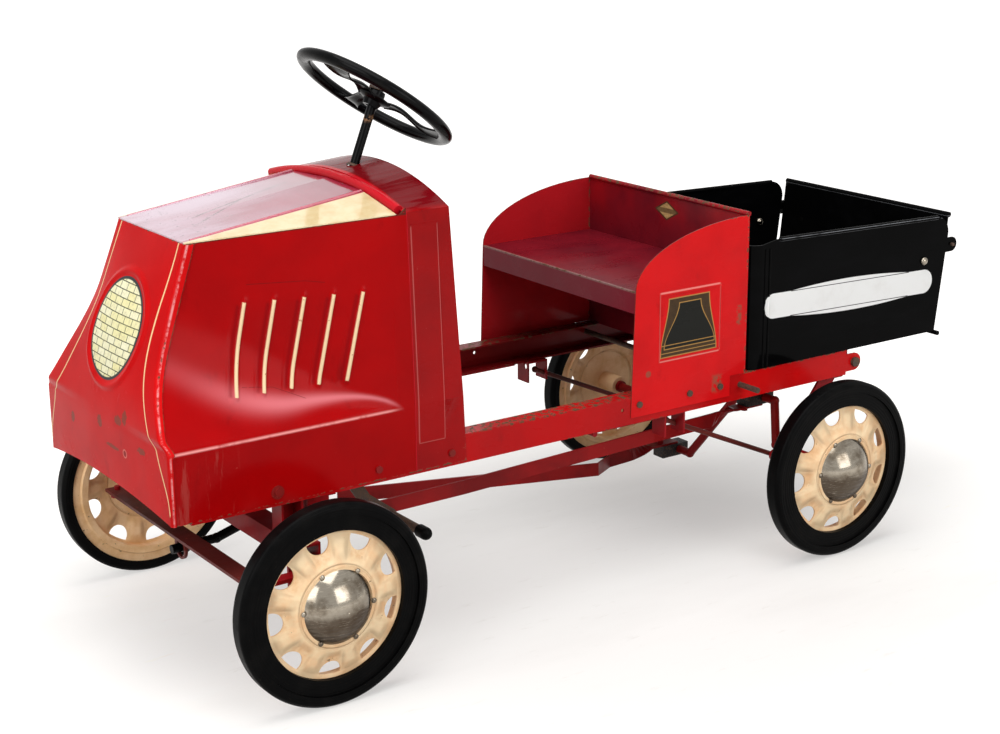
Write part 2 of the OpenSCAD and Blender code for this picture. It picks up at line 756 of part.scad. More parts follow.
module disc_shape(turn, bore) difference() {
    rotate_extrude($fn = 96) polygon([
        [bore / 2, -hub_back], [hub_d / 2, -hub_back], [hub_d / 2, dish - disc_t],
        [cap_d / 2 + 4, dish - disc_t], [rim_d / 2 - 24, dish - 7 - disc_t],
        [rim_d / 2 - 6, 3 - disc_t], [rim_d / 2 - disc_t, 1], [rim_d / 2 - disc_t, -rim_back],
        [rim_d / 2 + 7, -rim_back - 1], [rim_d / 2 + 9, -rim_back + 1.5],
        [flange_d / 2, -rim_back + 1.5], [flange_d / 2, -rim_back + 3],
        [rim_d / 2, -rim_back + 3], [rim_d / 2, 3], [rim_d / 2 - 6, 3],
        [rim_d / 2 - 24, dish - 7], [cap_d / 2 + 4, dish], [bore / 2, dish]
    ]);
    for (i = [0 : disc_holes - 1]) rotate([0, 0, turn + i * 360 / disc_holes])
        translate([0, 0, -20]) linear_extrude(60) intersection() {
            circle(rim_d / 2 - 5.5);
            translate([rim_d / 2 - 8.5, 0]) circle(d = disc_hole_d);
        }
}

tread_r = 7;
module tyre_shape() rotate_extrude($fn = 96) {
    r0 = rim_d / 2;
    w = tyre_w / 2;
    wall = flange_d / 2 + 0.5;
    translate([r0, 3 - rim_back]) square([wall - r0, rim_back - 3 + w - 3]);
    translate([wall, -w]) square([wheel_r - tread_r - wall, tyre_w]);
    translate([wheel_r - tread_r, tread_r - w]) square([tread_r, tyre_w - 2 * tread_r]);
    for (a = [tread_r - w, w - tread_r]) translate([wheel_r - tread_r, a]) circle(tread_r);
}

module cap_shape() {
    dome_r = (pow(cap_d / 2, 2) + pow(cap_h, 2)) / (2 * cap_h);
    translate([0, 0, dish]) difference() {
        intersection() {
            translate([0, 0, cap_h - dome_r]) sphere(dome_r, $fn = 96);
            cylinder(h = cap_h, d = cap_d);
        }
        intersection() {
            translate([0, 0, cap_h - dome_r]) sphere(dome_r - 1.4, $fn = 96);
            translate([0, 0, -1]) cylinder(h = cap_h, d = cap_d - 2.8);
        }
    }
}

front_turn = 3.5;
rear_turn = 2.9;
module left_front_disc() color(cream) set_down() left_wheel_at(wheelbase)
    disc_shape(front_turn, hub_bore);
module left_front_tyre() color(rubber) set_down() left_wheel_at(wheelbase) tyre_shape();
module left_front_cap() color(nickel) set_down() left_wheel_at(wheelbase) cap_shape();
module right_front_disc() color(cream) set_down() right_hand() left_wheel_at(wheelbase)
    disc_shape(front_turn + 13.3, hub_bore);
module right_front_tyre() color(rubber) set_down() right_hand() left_wheel_at(wheelbase)
    tyre_shape();
module right_front_cap() color(nickel) set_down() right_hand() left_wheel_at(wheelbase)
    cap_shape();
module left_rear_disc() color(cream) set_down() left_wheel_at(0)
    disc_shape(rear_turn, hub_bore);
module left_rear_tyre() color(rubber) set_down() left_wheel_at(0) tyre_shape();
module left_rear_cap() color(nickel) set_down() left_wheel_at(0) cap_shape();
module right_rear_disc() color(cream) set_down() right_hand() left_wheel_at(0)
    disc_shape(rear_turn + 28.6, axle_d);
module right_rear_tyre() color(rubber) set_down() right_hand() left_wheel_at(0) tyre_shape();
module right_rear_cap() color(nickel) set_down() right_hand() left_wheel_at(0) cap_shape();

// Knuckles: a barrel on the kingpin, a stub axle and an arm forward to the tie rod
barrel_d = 22;
arm_w = 18;
arm_t = 5;
arm_z = wheel_r + 13;
axle_end = track / 2 + dish + 9;
nut_d = 24;
nut_h = 6;
pin_d = 8;
tie_z = arm_z + arm_t + 1;
tie_t = 4;

module left_knuckle_shape() difference() {
    union() {
        translate([wheelbase, kingpin_y, fork_z + fork_t + seat_gap])
            cylinder(h = beam_z - fork_z - 2 * fork_t - 2 * seat_gap, d = barrel_d);
        cross_bar(wheelbase, wheel_r, kingpin_y, axle_end - kingpin_y, axle_d);
        cross_bar(wheelbase, wheel_r, track / 2 - hub_back - 5, 4.7, axle_d + 6);
        cross_bar(wheelbase, wheel_r, track / 2 + dish + seat_gap, nut_h, nut_d);
        translate([wheelbase, kingpin_y - arm_w / 2, arm_z])
            cube([steering_arm, arm_w, arm_t]);
        translate([wheelbase + steering_arm, kingpin_y, arm_z])
            cylinder(h = arm_t, d = arm_w);
        translate([wheelbase + steering_arm, kingpin_y, arm_z])
            cylinder(h = arm_t + tie_t + 6, d = pin_d);
    }
    translate([wheelbase, kingpin_y, fork_z])
        cylinder(h = beam_z - fork_z, d = kingpin_d + 2 * running);
}

module left_knuckle() color(rust) set_down() left_knuckle_shape();
module right_knuckle() color(rust) set_down() right_hand() left_knuckle_shape();

// Tie rod: a flat bar between the steering arms, with a looped tab for the column's crank
tie_w = 25;
tab_t = 4;
tab_w = 30;
tab_hole_d = 22;
crank_low_z = wheel_r + 2.5;

module tie_rod() color(enamel) set_down() {
    x = wheelbase + steering_arm;
    reach = kingpin_y + 12;
    difference() {
        translate([x - tie_w / 2, -reach, tie_z]) cube([tie_w, 2 * reach, tie_t]);
        both_sides() translate([x, kingpin_y, tie_z - 1])
            cylinder(h = tie_t + 2, d = pin_d + 2 * running);
    }
    difference() {
        union() {
            translate([x - tab_t / 2, -tab_w / 2, crank_low_z])
                cube([tab_t, tab_w, tie_z - crank_low_z + 1]);
            translate([x - tab_t / 2, 0, crank_low_z]) rotate([0, 90, 0])
                cylinder(h = tab_t, d = tab_w);
        }
        translate([x - tab_t, 0, crank_low_z - 1]) rotate([0, 90, 0])
            cylinder(h = 2 * tab_t, d = tab_hole_d);
    }
}

// Steering column: one rod, bent forward at its foot into a crank for the tie rod's tab
steering_z = cowl_crown_z + 88;
column_foot_z = wheel_r + 16;
knee_out = [42, -12];
tip_x = column_x(column_foot_z) + 105;

module steering_column() color(gloss_black) set_down() {
    foot = [column_x(column_foot_z), column_foot_z];
    head = [column_x(steering_z), steering_z] + 14 * [-sin(column_lean), cos(column_lean)];
    rotate([90, 0, 0])
        rod([for (p = [head, foot, foot + knee_out, [tip_x, crank_low_z]]) [p.x, p.y, 0]],
            column_d);
}

// Steering wheel: three wavy spokes in a round rim, a little flatter than square
spoke_t = 4;
spoke_in = 16;
spoke_count = 3;
wheel_hub_d = 36;

// Half width of a spoke at s, from 0 at the hub to 1 at the rim
function spoke_half(s) = 15 - 8 * sin(180 * s) + 3.5 * s + 1.5 * sin(540 * s);

module spoke() {
    run = steering_wheel_d / 2 - spoke_in;
    steps = 14;
    edge = [for (i = [0 : steps]) [spoke_in + run * i / steps, spoke_half(i / steps)]];
    polygon(concat(edge, [for (i = [steps : -1 : 0]) [edge[i].x, -edge[i].y]]));
}

module steering_wheel() color(gloss_black) set_down() difference() {
    union() {
        translate([column_x(steering_z), 0, steering_z])
            rotate([0, -steering_wheel_lean, 0]) {
                rotate_extrude($fn = 72) translate([steering_wheel_d / 2, 0])
                    circle(d = steering_rim_t, $fn = 32);
                translate([0, 0, -spoke_t / 2]) linear_extrude(spoke_t) {
                    for (i = [0 : spoke_count - 1]) rotate(62 + i * 360 / spoke_count) spoke();
                    circle(d = wheel_hub_d + 12, $fn = 48);
                }
            }
        on_column(steering_z) translate([0, 0, -12]) cylinder(h = 19, d = wheel_hub_d - 8);
    }
    on_column(steering_z) translate([0, 0, -30]) cylinder(h = 60, d = column_d);
}

module steering_wheel_nut() color(rust) set_down() difference() {
    on_column(steering_z) translate([0, 0, 7]) cylinder(h = 8, d = 24, $fn = 6);
    on_column(steering_z) cylinder(h = 30, d = column_d);
}

// Cranked rear axle: left pin up and right pin down, joined by a slanting web
crank_arm_y = 134;
web_y = crank_arm_y - 6 - crank_pin_w;
up = wheel_r + crank_throw;
down = wheel_r - crank_throw;

module crank_axle() color(maroon) set_down() {
    turns = [
        [0, -axle_end, wheel_r], [0, -crank_arm_y, wheel_r], [0, 6 - crank_arm_y, down],
        [0, -web_y, down], [0, web_y, up], [0, crank_arm_y - 6, up],
        [0, crank_arm_y, wheel_r], [0, axle_end, wheel_r]
    ];
    rod(turns, axle_d);
    both_sides() {
        cross_bar(0, wheel_r, track / 2 - hub_back - 5, 4.7, axle_d + 6);
        cross_bar(0, wheel_r, track / 2 + dish + seat_gap, nut_h, nut_d);
    }
}

// Push rods: a flat bar on edge, set inward at the front and twisted flat at the back,
// where it is bolted to a clamped block on its crank pin
bar_t = 3;
block_len = 50;
block_w = 24;
block_h = 19;
twist_x = [52, 92];

// One cross-section of a push rod at p, turned from flat at 0 to on edge at 90 degrees
function bar_section(p, turn) = let (
    w = push_rod_h / 2, t = bar_t / 2, c = cos(turn), s = sin(turn)
) [
    p + [0, w * c - t * s, w * s + t * c], p + [0, -w * c - t * s, -w * s + t * c],
    p + [0, -w * c + t * s, -w * s - t * c], p + [0, w * c + t * s, w * s - t * c]
];

// A bar through a list of [point, turn] pairs
module swept_bar(stations) {
    rings = [for (s = stations) bar_section(s[0], s[1])];
    n = len(rings);
    polyhedron(
        points = [for (r = rings) for (p = r) p],
        faces = concat(
            [[0, 1, 2], [0, 2, 3]],
            [[4 * n - 1, 4 * n - 2, 4 * n - 3], [4 * n - 1, 4 * n - 3, 4 * n - 4]],
            [for (i = [0 : n - 2]) for (k = [0 : 3])
                [4 * i + k, 4 * i + 4 + k, 4 * i + (k + 1) % 4]],
            [for (i = [0 : n - 2]) for (k = [0 : 3])
                [4 * i + (k + 1) % 4, 4 * i + 4 + k, 4 * i + 4 + (k + 1) % 4]]
        ),
        convexity = 4
    );
}

// Each rod sets in from the crank pin's side to the pedal's between the two X of set_in
module push_rod(side, pin_z, below, set_in, set_in_z, eye_z) {
    back_z = pin_z + (below ? -1 : 1) * (block_h / 2 + bar_t / 2);
    dip_z = mix(back_z, set_in_z[0], 0.8);
    function z_at(x) = lookup(x, [[twist_x[0], back_z], [twist_x[1], dip_z],
        [set_in[0], set_in_z[0]], [set_in[1], set_in_z[1]], [pedal_eye_x, eye_z]]);
    function y_at(x) = lookup(x, [[set_in[0], big_end_y], [set_in[1], push_rod_y]]);
    twisting = [for (i = [0 : 6]) let (x = mix(twist_x[0], twist_x[1], i / 6))
        [[x, big_end_y, z_at(x)], 90 * i / 6]];
    bolt_x = block_len / 2 + 4;
    mirror([0, side < 0 ? 1 : 0, 0]) {
        swept_bar(concat(
            [[[2, big_end_y, back_z], 0]], twisting,
            [for (x = [set_in[0], set_in[1], pedal_eye_x + 14]) [[x, y_at(x), z_at(x)], 90]]
        ));
        translate([bolt_x, big_end_y, back_z]) mirror([0, 0, below ? 1 : 0])
            cylinder(h = bar_t / 2 + 5, d = 10, $fn = 6);
    }
}

module big_end(side, pin_z) mirror([0, side < 0 ? 1 : 0, 0]) difference() {
    translate([-17, big_end_y - block_w / 2, pin_z - block_h / 2])
        cube([block_len, block_w, block_h]);
    cross_bar(0, pin_z, big_end_y - block_w, 2 * block_w, axle_d + 2 * running);
}

module left_push_rod() color(enamel) set_down()
    push_rod(1, up, true, [200, 494], [169.5, 141], pedal_eye_z);
module left_big_end() color(gloss_black) set_down() big_end(1, up);
module right_push_rod() color(enamel) set_down()
    push_rod(-1, down, false, [130, 187], [64, 75], pedal_eye_z - right_eye_drop);
module right_big_end() color(gloss_black) set_down() big_end(-1, down);

// Pedals: a strap that swings on the pedal rod, with a foot bar at its lower end
pedal_y = push_rod_y + 6;
pedal_t = 4;
pedal_w = 17;
foot_d = 13;
foot = [pedal_eye_x - 4, pedal_eye_z - 9];
knee = [pedal_eye_x + 34, pedal_eye_z + 20];
pedal_barrel_w = 18;
right_eye_drop = 12;

module left_pedal_shape(eye_drop = 0) difference() {
    union() {
        side_view(pedal_y, pedal_t) for (run = [
            [knee, [pedal_pivot_x, pedal_pivot_z]], [foot, knee]
        ]) hull() for (p = run) translate(p) circle(d = pedal_w);
        cross_bar(pedal_pivot_x, pedal_pivot_z, pedal_y + pedal_t / 2 - pedal_barrel_w / 2,
            pedal_barrel_w, pedal_rod_d + 10);
        cross_bar(foot.x, foot.y, pedal_y, foot_bar_len, foot_d);
        cross_bar(pedal_eye_x + 4, pedal_eye_z - eye_drop, pedal_y - 3.6, 4, 7);
    }
    cross_bar(pedal_pivot_x, pedal_pivot_z, pedal_y - 30, 60, pedal_rod_d + 2 * running);
}

module pedal_cap_shape() translate([foot.x, pedal_y + foot_bar_len - 14, foot.y])
    rotate([-90, 0, 0]) difference() {
        union() {
            cylinder(h = 14, d = foot_d + 4);
            translate([0, 0, 14]) sphere(d = foot_d + 4);
        }
        translate([0, 0, -1]) cylinder(h = 15, d = foot_d);
    }

module left_pedal() color(rust) set_down() left_pedal_shape();
module left_pedal_cap() color(rubber) set_down() pedal_cap_shape();
module right_pedal() color(rust) set_down() right_hand() left_pedal_shape(right_eye_drop);
module right_pedal_cap() color(rubber) set_down() right_hand() pedal_cap_shape();

// Dump bed: a floor on two hinge lugs, with side walls that carry the tailgate's rod
floor_t = 2;
half_bed = bed_w / 2;
inner_y = half_bed - sheet;
corner_r = 18;
wall_rear_drop = 8;
bed_rim_d = 7;

module bed_floor() color(gloss_black) set_down() difference() {
    union() {
        translate([-bed_rear, -inner_y, bed_z])
            cube([bed_rear + bed_front - sheet - corner_r, 2 * inner_y, floor_t]);
        translate([0, -inner_y + corner_r, bed_z])
            cube([bed_front - sheet, 2 * (inner_y - corner_r), floor_t]);
        both_sides() {
            side_view(lug_y, lug_t) {
                translate([-hinge_back, hinge_z]) circle(12);
                translate([-hinge_back - 12, hinge_z]) square([24, bed_z - hinge_z + 0.5]);
            }
            translate([bed_front - sheet - corner_r, inner_y - corner_r, bed_z])
                cylinder(h = floor_t, r = corner_r);
        }
    }
    both_sides() cross_bar(-hinge_back, hinge_z, lug_y - 1, lug_t + 2,
        hinge_bolt_d + 2 * running);
}

module wall_outline() {
    top_rear = gate_edge_x(wall_top - wall_rear_drop);
    corner = 26;
    polygon(concat(
        [
            [bed_front - corner_r - sheet, bed_z], [bed_front - corner_r - sheet, wall_top - 5],
            [bed_front - corner_r - 30, wall_top]
        ],
        arc_points(top_rear + corner, wall_top - wall_rear_drop - corner, corner, corner,
            90, 180, 8),
        [[gate_edge_x(bed_z), bed_z]]
    ));
    translate([gate_hinge_x, gate_hinge_z]) circle(ear_r);
    translate([gate_hinge_x, gate_hinge_z - ear_r]) square([hinge_rod_back + 8, 2 * ear_r]);
}

module bed_left_wall_shape() {
    difference() {
        side_view(inner_y, sheet) wall_outline();
        cross_bar(gate_hinge_x, gate_hinge_z, inner_y - 1, sheet + 2, hinge_rod_d);
    }
    straight_rod([bed_front - corner_r - 34, half_bed, wall_top - 1],
        [gate_edge_x(wall_top) + 26, half_bed, wall_top - wall_rear_drop - 1], bed_rim_d);
    for (x = [bed_front - corner_r - 8, bed_front - corner_r - 16])
        translate([x, half_bed, bed_z + 2]) cylinder(h = bed_wall_h - 14, r = 1.6);
    cross_bar(-bed_rear + 31, bed_z + 112, inner_y - 5, sheet + 9, 9);
}

module bed_left_wall() color(gloss_black) set_down() bed_left_wall_shape();
module bed_right_wall() color(gloss_black) set_down() right_hand() bed_left_wall_shape();

// Front wall: bent round both front corners
module bed_front_wall() color(gloss_black) set_down()
    translate([0, 0, bed_z]) linear_extrude(bed_wall_h - 5) {
        translate([bed_front - sheet, -inner_y + corner_r])
            square([sheet, 2 * (inner_y - corner_r)]);
        both_sides() translate([bed_front - sheet - corner_r, inner_y - corner_r])
            intersection() {
                difference() {
                    circle(corner_r + sheet);
                    circle(corner_r);
                }
                square(corner_r + sheet);
            }
    }

// Tailgate: hangs between the ears on a rod through its barrel, just behind the walls
gate_y = inner_y - 4;
gate_t = 2;
gate_gap = 3;
gate_top_z = wall_top - wall_rear_drop - 1;
gate_foot_z = bed_z - 3;
barrel_w = gate_y - 2;

module tailgate() color(gloss_black) set_down() difference() {
    union() {
        side_view(-gate_y, 2 * gate_y) {
            polygon([
                [gate_edge_x(gate_foot_z) - gate_gap, gate_foot_z],
                [gate_edge_x(gate_top_z) - gate_gap, gate_top_z],
                [gate_edge_x(gate_top_z) - gate_gap - gate_t, gate_top_z],
                [gate_edge_x(gate_foot_z) - gate_gap - gate_t, gate_foot_z]
            ]);
            translate([gate_edge_x(gate_top_z) - gate_gap - 3, gate_top_z]) circle(4);
        }
        cross_bar(gate_edge_x(gate_foot_z) - gate_gap - 3, gate_foot_z - 1,
            -half_bed - 3, 2 * half_bed + 6, 7);
        both_sides() cross_bar(gate_hinge_x, gate_hinge_z, barrel_w - 24, 24, hinge_rod_d + 5);
        both_sides() translate([gate_hinge_x, barrel_w - 24, gate_hinge_z - 5])
            cube([hinge_rod_back - gate_gap - 1, 24, 10]);
    }
    cross_bar(gate_hinge_x, gate_hinge_z, -half_bed, 2 * half_bed, hinge_rod_d + 2 * running);
}

module tailgate_rod() color(rust) set_down() {
    reach = half_bed + 4;
    cross_bar(gate_hinge_x, gate_hinge_z, -reach, 2 * reach, hinge_rod_d);
}

left_rail();
right_rail();
cross_members();
front_axle_beam();
axle_stands();
kingpins();
column_bracket();
column_collar();
pedal_brackets();
pedal_rod();
left_axle_hanger();
right_axle_hanger();
brace_rods();
brace_brackets();
cross_rod();
hinge_bolts();
seat_deck();
seat_back();
left_seat_side();
right_seat_side();
seat_screws();
nose_panel();
left_hood_side();
right_hood_side();
hood_top();
cowl();
hood_bolts();
left_knuckle();
left_front_disc();
left_front_tyre();
left_front_cap();
right_knuckle();
right_front_disc();
right_front_tyre();
right_front_cap();
tie_rod();
steering_column();
steering_wheel();
steering_wheel_nut();
crank_axle();
left_rear_disc();
left_rear_tyre();
left_rear_cap();
right_rear_disc();
right_rear_tyre();
right_rear_cap();
left_push_rod();
left_big_end();
right_push_rod();
right_big_end();
left_pedal();
left_pedal_cap();
right_pedal();
right_pedal_cap();
bed_floor();
bed_left_wall();
bed_right_wall();
bed_front_wall();
tailgate();
tailgate_rod();
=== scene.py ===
import math
import bpy
import bmesh
from mathutils import Matrix, Vector


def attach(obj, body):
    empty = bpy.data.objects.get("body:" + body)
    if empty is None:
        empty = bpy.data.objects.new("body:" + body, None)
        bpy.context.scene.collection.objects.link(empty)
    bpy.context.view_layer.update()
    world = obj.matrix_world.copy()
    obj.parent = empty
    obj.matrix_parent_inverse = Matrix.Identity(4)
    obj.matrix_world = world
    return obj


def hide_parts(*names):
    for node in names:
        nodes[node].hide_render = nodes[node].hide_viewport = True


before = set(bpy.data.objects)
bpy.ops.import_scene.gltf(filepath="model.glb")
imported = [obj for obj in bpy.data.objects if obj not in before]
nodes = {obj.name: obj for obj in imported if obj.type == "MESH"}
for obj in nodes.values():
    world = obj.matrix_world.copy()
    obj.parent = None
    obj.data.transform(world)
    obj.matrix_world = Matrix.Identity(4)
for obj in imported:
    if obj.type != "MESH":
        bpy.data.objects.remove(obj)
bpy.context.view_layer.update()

# Camera: a studio view from ahead of the truck's left front corner, a little above the hood.
# Its place and turn come from the photograph's perspective, so no shift is needed.
camera_data = bpy.data.cameras.new("camera")
camera_data.sensor_width = 36
camera_data.lens = 67.152
camera_data.clip_end = 100
camera = bpy.data.objects.new("camera", camera_data)
camera_right = Vector((-0.82145113, 0.57023528, -0.00705492))
camera_up = Vector((-0.16451037, -0.22510369, 0.96034612))
camera_back = Vector((0.54603515, 0.79003801, 0.2787213))
camera.matrix_world = Matrix.Translation((1.470882, 2.0406136, 1.0024188)) @ Matrix(
    (camera_right, camera_up, camera_back)).transposed().to_4x4()
bpy.context.scene.collection.objects.link(camera)
bpy.context.scene.camera = camera

# Studio: a white paper floor that runs off out of sight, with faint scuffs, dust and painted
# shade.
# Three soft boxes overhead, ahead and on the left light it, and a white room shows behind.
bpy.context.scene.view_settings.view_transform = "Standard"


def put(tree, socket, value):
    if isinstance(value, bpy.types.NodeSocket):
        tree.links.new(value, socket)
    else:
        socket.default_value = value


def add(tree, kind, inputs=None, **settings):
    made = tree.nodes.new("ShaderNode" + kind)
    for name, value in settings.items():
        setattr(made, name, value)
    for name, value in (inputs or {}).items():
        put(tree, made.inputs[name], value)
    return made


def calc(tree, operation, *values):
    return add(tree, "Math", dict(enumerate(values)), operation=operation).outputs[0]


def times(tree, *masks):
    """The product of the masks: 1 where all of them are 1."""
    made = masks[0]
    for mask in masks[1:]:
        made = calc(tree, "MULTIPLY", made, mask)
    return made


def most(tree, *masks):
    """The largest of the masks: 1 where any of them is 1."""
    made = masks[0]
    for mask in masks[1:]:
        made = calc(tree, "MAXIMUM", made, mask)
    return made


def mix(tree, amount, a, b):
    return add(tree, "Mix", {0: amount, 6: a, 7: b}, data_type="RGBA").outputs[2]


def over(tree, under, colour, *masks):
    """The colour laid over another where all the masks are 1."""
    return mix(tree, times(tree, *masks), under, colour)


def rise(tree, value, low, high, to_low=0.0, to_high=1.0):
    """A smooth step from to_low to to_high while the value goes from low to high."""
    numbers = dict(enumerate((value, low, high, to_low, to_high)))
    return add(tree, "MapRange", numbers, interpolation_type="SMOOTHSTEP").outputs[0]


def noise(tree, place, grain_mm, detail=4.0, rough=0.55, stretch=None, shift=0.0):
    """Clouds about 0.5, with their grain in millimetres."""
    if stretch or shift:
        turned = add(tree, "Mapping", {0: place, 1: (shift, shift * 0.7, shift * 1.3),
                                       3: stretch or (1, 1, 1)})
        place = turned.outputs[0]
    made = add(tree, "TexNoise", {"Vector": place, "Scale": 1.0 / grain_mm,
                                  "Detail": detail, "Roughness": rough})
    return made.outputs[0]


# Textures are laid out in millimetres from the middle of the rear axle, at floor height
REAR_AXLE_X = -0.338147


def in_millimetres(tree):
    coordinate = add(tree, "TexCoord")
    made = add(tree, "Mapping", {0: coordinate.outputs["Object"],
                                 1: (-1000 * REAR_AXLE_X, 0, 0), 3: (1000, 1000, 1000)})
    return made.outputs[0]


def split(tree, place):
    return add(tree, "SeparateXYZ", {0: place}).outputs


def new_finish(name, **principled):
    material = bpy.data.materials.new(name)
    material.use_nodes = True
    tree = material.node_tree
    tree.nodes.clear()
    skin = add(tree, "BsdfPrincipled", principled)
    add(tree, "OutputMaterial", {0: skin.outputs[0]})
    return material, tree, skin, in_millimetres(tree)


FLOOR_WHITE, FLOOR_GREY = (0.50, 0.49, 0.475, 1), (0.44, 0.428, 0.41, 1)
SHADOW_MIDDLE = (340, 150, 0)
floor_paper = bpy.data.materials.new("floor_paper")
floor_paper.use_nodes = True
tree = floor_paper.node_tree
tree.nodes.clear()
place = in_millimetres(tree)
clouds = rise(tree, noise(tree, place, 420, 5, stretch=(0.5, 1.6, 1)), 0.45, 0.75)
paper = mix(tree, clouds, FLOOR_WHITE, FLOOR_GREY)
scuffs = rise(tree, noise(tree, place, 26, 9, 0.72, stretch=(0.35, 1.5, 1)), 0.58, 0.72)
from_truck = add(tree, "VectorMath", {0: place, 1: SHADOW_MIDDLE}, operation="DISTANCE")
near_truck = rise(tree, from_truck.outputs["Value"], 1700, 600)
# The scuffs are laid on only near the truck, where they also darken the paper as painted shade
paper = over(tree, paper, (0.30, 0.275, 0.24, 1), scuffs, times(tree, near_truck, 0.4))
matt = add(tree, "BsdfDiffuse", {0: paper})
ray = add(tree, "LightPath").outputs
seen = most(tree, ray["Is Camera Ray"], ray["Is Glossy Ray"], ray["Is Transmission Ray"])
# Painted shade: the floor's glow is weaker round SHADOW_MIDDLE, so the paper greys round the truck
paleness = rise(tree, from_truck.outputs["Value"], 250, 1450, 0.405, 1.0)
glow = add(tree, "Emission", {0: (1, 0.985, 0.97, 1), 1: times(tree, seen, paleness)})
both = add(tree, "AddShader", {0: matt.outputs[0], 1: glow.outputs[0]})
add(tree, "OutputMaterial", {0: both.outputs[0]})

floor_mesh = bpy.data.meshes.new("floor")
corners = [(-40, -40, 0), (40, -40, 0), (40, 40, 0), (-40, 40, 0)]
floor_mesh.from_pydata(corners, [], [(0, 1, 2, 3)])
floor = bpy.data.objects.new("floor", floor_mesh)
floor_mesh.materials.append(floor_paper)
bpy.context.scene.collection.objects.link(floor)

world = bpy.data.worlds.new("white_room")
bpy.context.scene.world = world
world.use_nodes = True
tree = world.node_tree
tree.nodes.clear()
ray = add(tree, "LightPath").outputs
seen = most(tree, ray["Is Camera Ray"], ray["Is Glossy Ray"], ray["Is Transmission Ray"])
lit = add(tree, "Background", {0: (1, 1, 1, 1), 1: 0.34})
shown = add(tree, "Background", {0: (1, 1, 1, 1), 1: 1.0})
room = add(tree, "MixShader", {0: seen, 1: lit.outputs[0], 2: shown.outputs[0]})
add(tree, "OutputWorld", {0: room.outputs[0]})


def soft_box(name, size, watts, where, aim):
    data = bpy.data.lights.new(name, "AREA")
    data.shape = "SQUARE"
    data.size = size
    data.energy = watts
    lamp = bpy.data.objects.new(name, data)
    lamp.location = where
    lamp.rotation_euler = (Vector(aim) - Vector(where)).to_track_quat("-Z", "Y").to_euler()
    bpy.context.scene.collection.objects.link(lamp)


soft_box("overhead_box", 2.4, 62, (0.5, 0.4, 2.9), (0, 0, 0.2))
soft_box("front_box", 1.8, 34, (2.7, 0.9, 1.6), (0, 0, 0.35))
soft_box("left_box", 2.0, 44, (-0.5, 3.2, 1.5), (0, 0, 0.3))

# Frame: two pressed channel rails with the axle parts, braces and brackets bolted under them.
# Brush-painted red enamel over steel, rubbed and chipped to brown along the edges.
RED = (0.69, 0.006, 0.008, 1)
DEEP_RED = (0.57, 0.005, 0.007, 1)
BROWN_RUST = (0.075, 0.038, 0.020, 1)


def dress(names, material):
    """Gives named solids their finish."""
    for name in names.split():
        for slot in nodes[name].material_slots:
            slot.material = material


def plus(tree, a, b):
    return calc(tree, "ADD", a, b)


def minus(tree, a, b):
    return calc(tree, "SUBTRACT", a, b)


def enamel(name, specular, coat, coat_rough):
    return new_finish(name, **{"Specular IOR Level": specular, "Coat Weight": coat,
                               "Coat Roughness": coat_rough})


def line_mask(tree, place, start, end, width, skip="y", soft=0.8):
    """1 inside a painted line between two points, seen along the axis named by skip."""
    keep = [i for i in range(3) if "xyz"[i] != skip]
    run = Vector([end[i] - start[i] if i in keep else 0 for i in range(3)])
    length = run.length
    run.normalize()
    across = Vector((0, 0, 0))
    across[keep[0]], across[keep[1]] = -run[keep[1]], run[keep[0]]
    masks = []
    for direction, low, high in ((run, 0, length), (across, -width / 2, width / 2)):
        dot = add(tree, "VectorMath", {0: place, 1: direction}, operation="DOT_PRODUCT")
        at = minus(tree, dot.outputs["Value"], direction.dot(Vector(start)))
        masks += [rise(tree, at, low - soft, low + soft), rise(tree, at, high + soft, high - soft)]
    return times(tree, *masks)


def band(tree, value, low, high, soft=1.0):
    """1 where the value lies between low and high."""
    return times(tree, rise(tree, value, low - soft, low + soft),
                 rise(tree, value, high + soft, high - soft))


def mount(name, mesh, body, replaced=None):
    """Puts a finished mesh on its body, in place of a solid if one is named."""
    piece = bpy.data.objects.new(name, mesh)
    bpy.context.scene.collection.objects.link(piece)
    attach(piece, body)
    if replaced:
        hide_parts(replaced)


def old_paint(tree, place, colour, deep, chips, edges=0.0, under=BROWN_RUST, rough=(0.2, 0.42),
              dents=0.35):
    """Aged enamel: cloudy shade, dust, and chips that gather where edges is 1. It returns the
    colour, the mask of what is chipped off and what finish_paint needs for the rest."""
    cloud = rise(tree, noise(tree, place, 95, 4), 0.35, 0.7)
    paint = mix(tree, cloud, colour, deep)
    grime = rise(tree, noise(tree, place, 30, 8, 0.68, stretch=(1, 1, 0.45)), 0.56, 0.78)
    paint = over(tree, paint, tuple(0.35 * v for v in deep[:3]) + (1,), grime, 0.35)
    flake = noise(tree, place, 7.5, 7, 0.68, shift=31)
    need = minus(tree, 0.80 - 0.10 * chips, times(tree, edges, 0.22))
    bare = rise(tree, minus(tree, flake, need), 0.0, 0.025)
    worn = rise(tree, minus(tree, flake, need), -0.05, 0.0)
    paint = over(tree, paint, (0.52, 0.11, 0.09, 1), worn, 0.35)
    return paint, bare, under, rough, dents


def cover(tree, skin, colour, rough, height, strength, distance):
    """Joins the colour, the roughness and the bump to the surface."""
    bump = add(tree, "Bump", {"Height": height, "Strength": strength, "Distance": distance})
    for name, value in (("Base Color", colour), ("Roughness", rough), ("Normal", bump.outputs[0])):
        put(tree, skin.inputs[name], value)


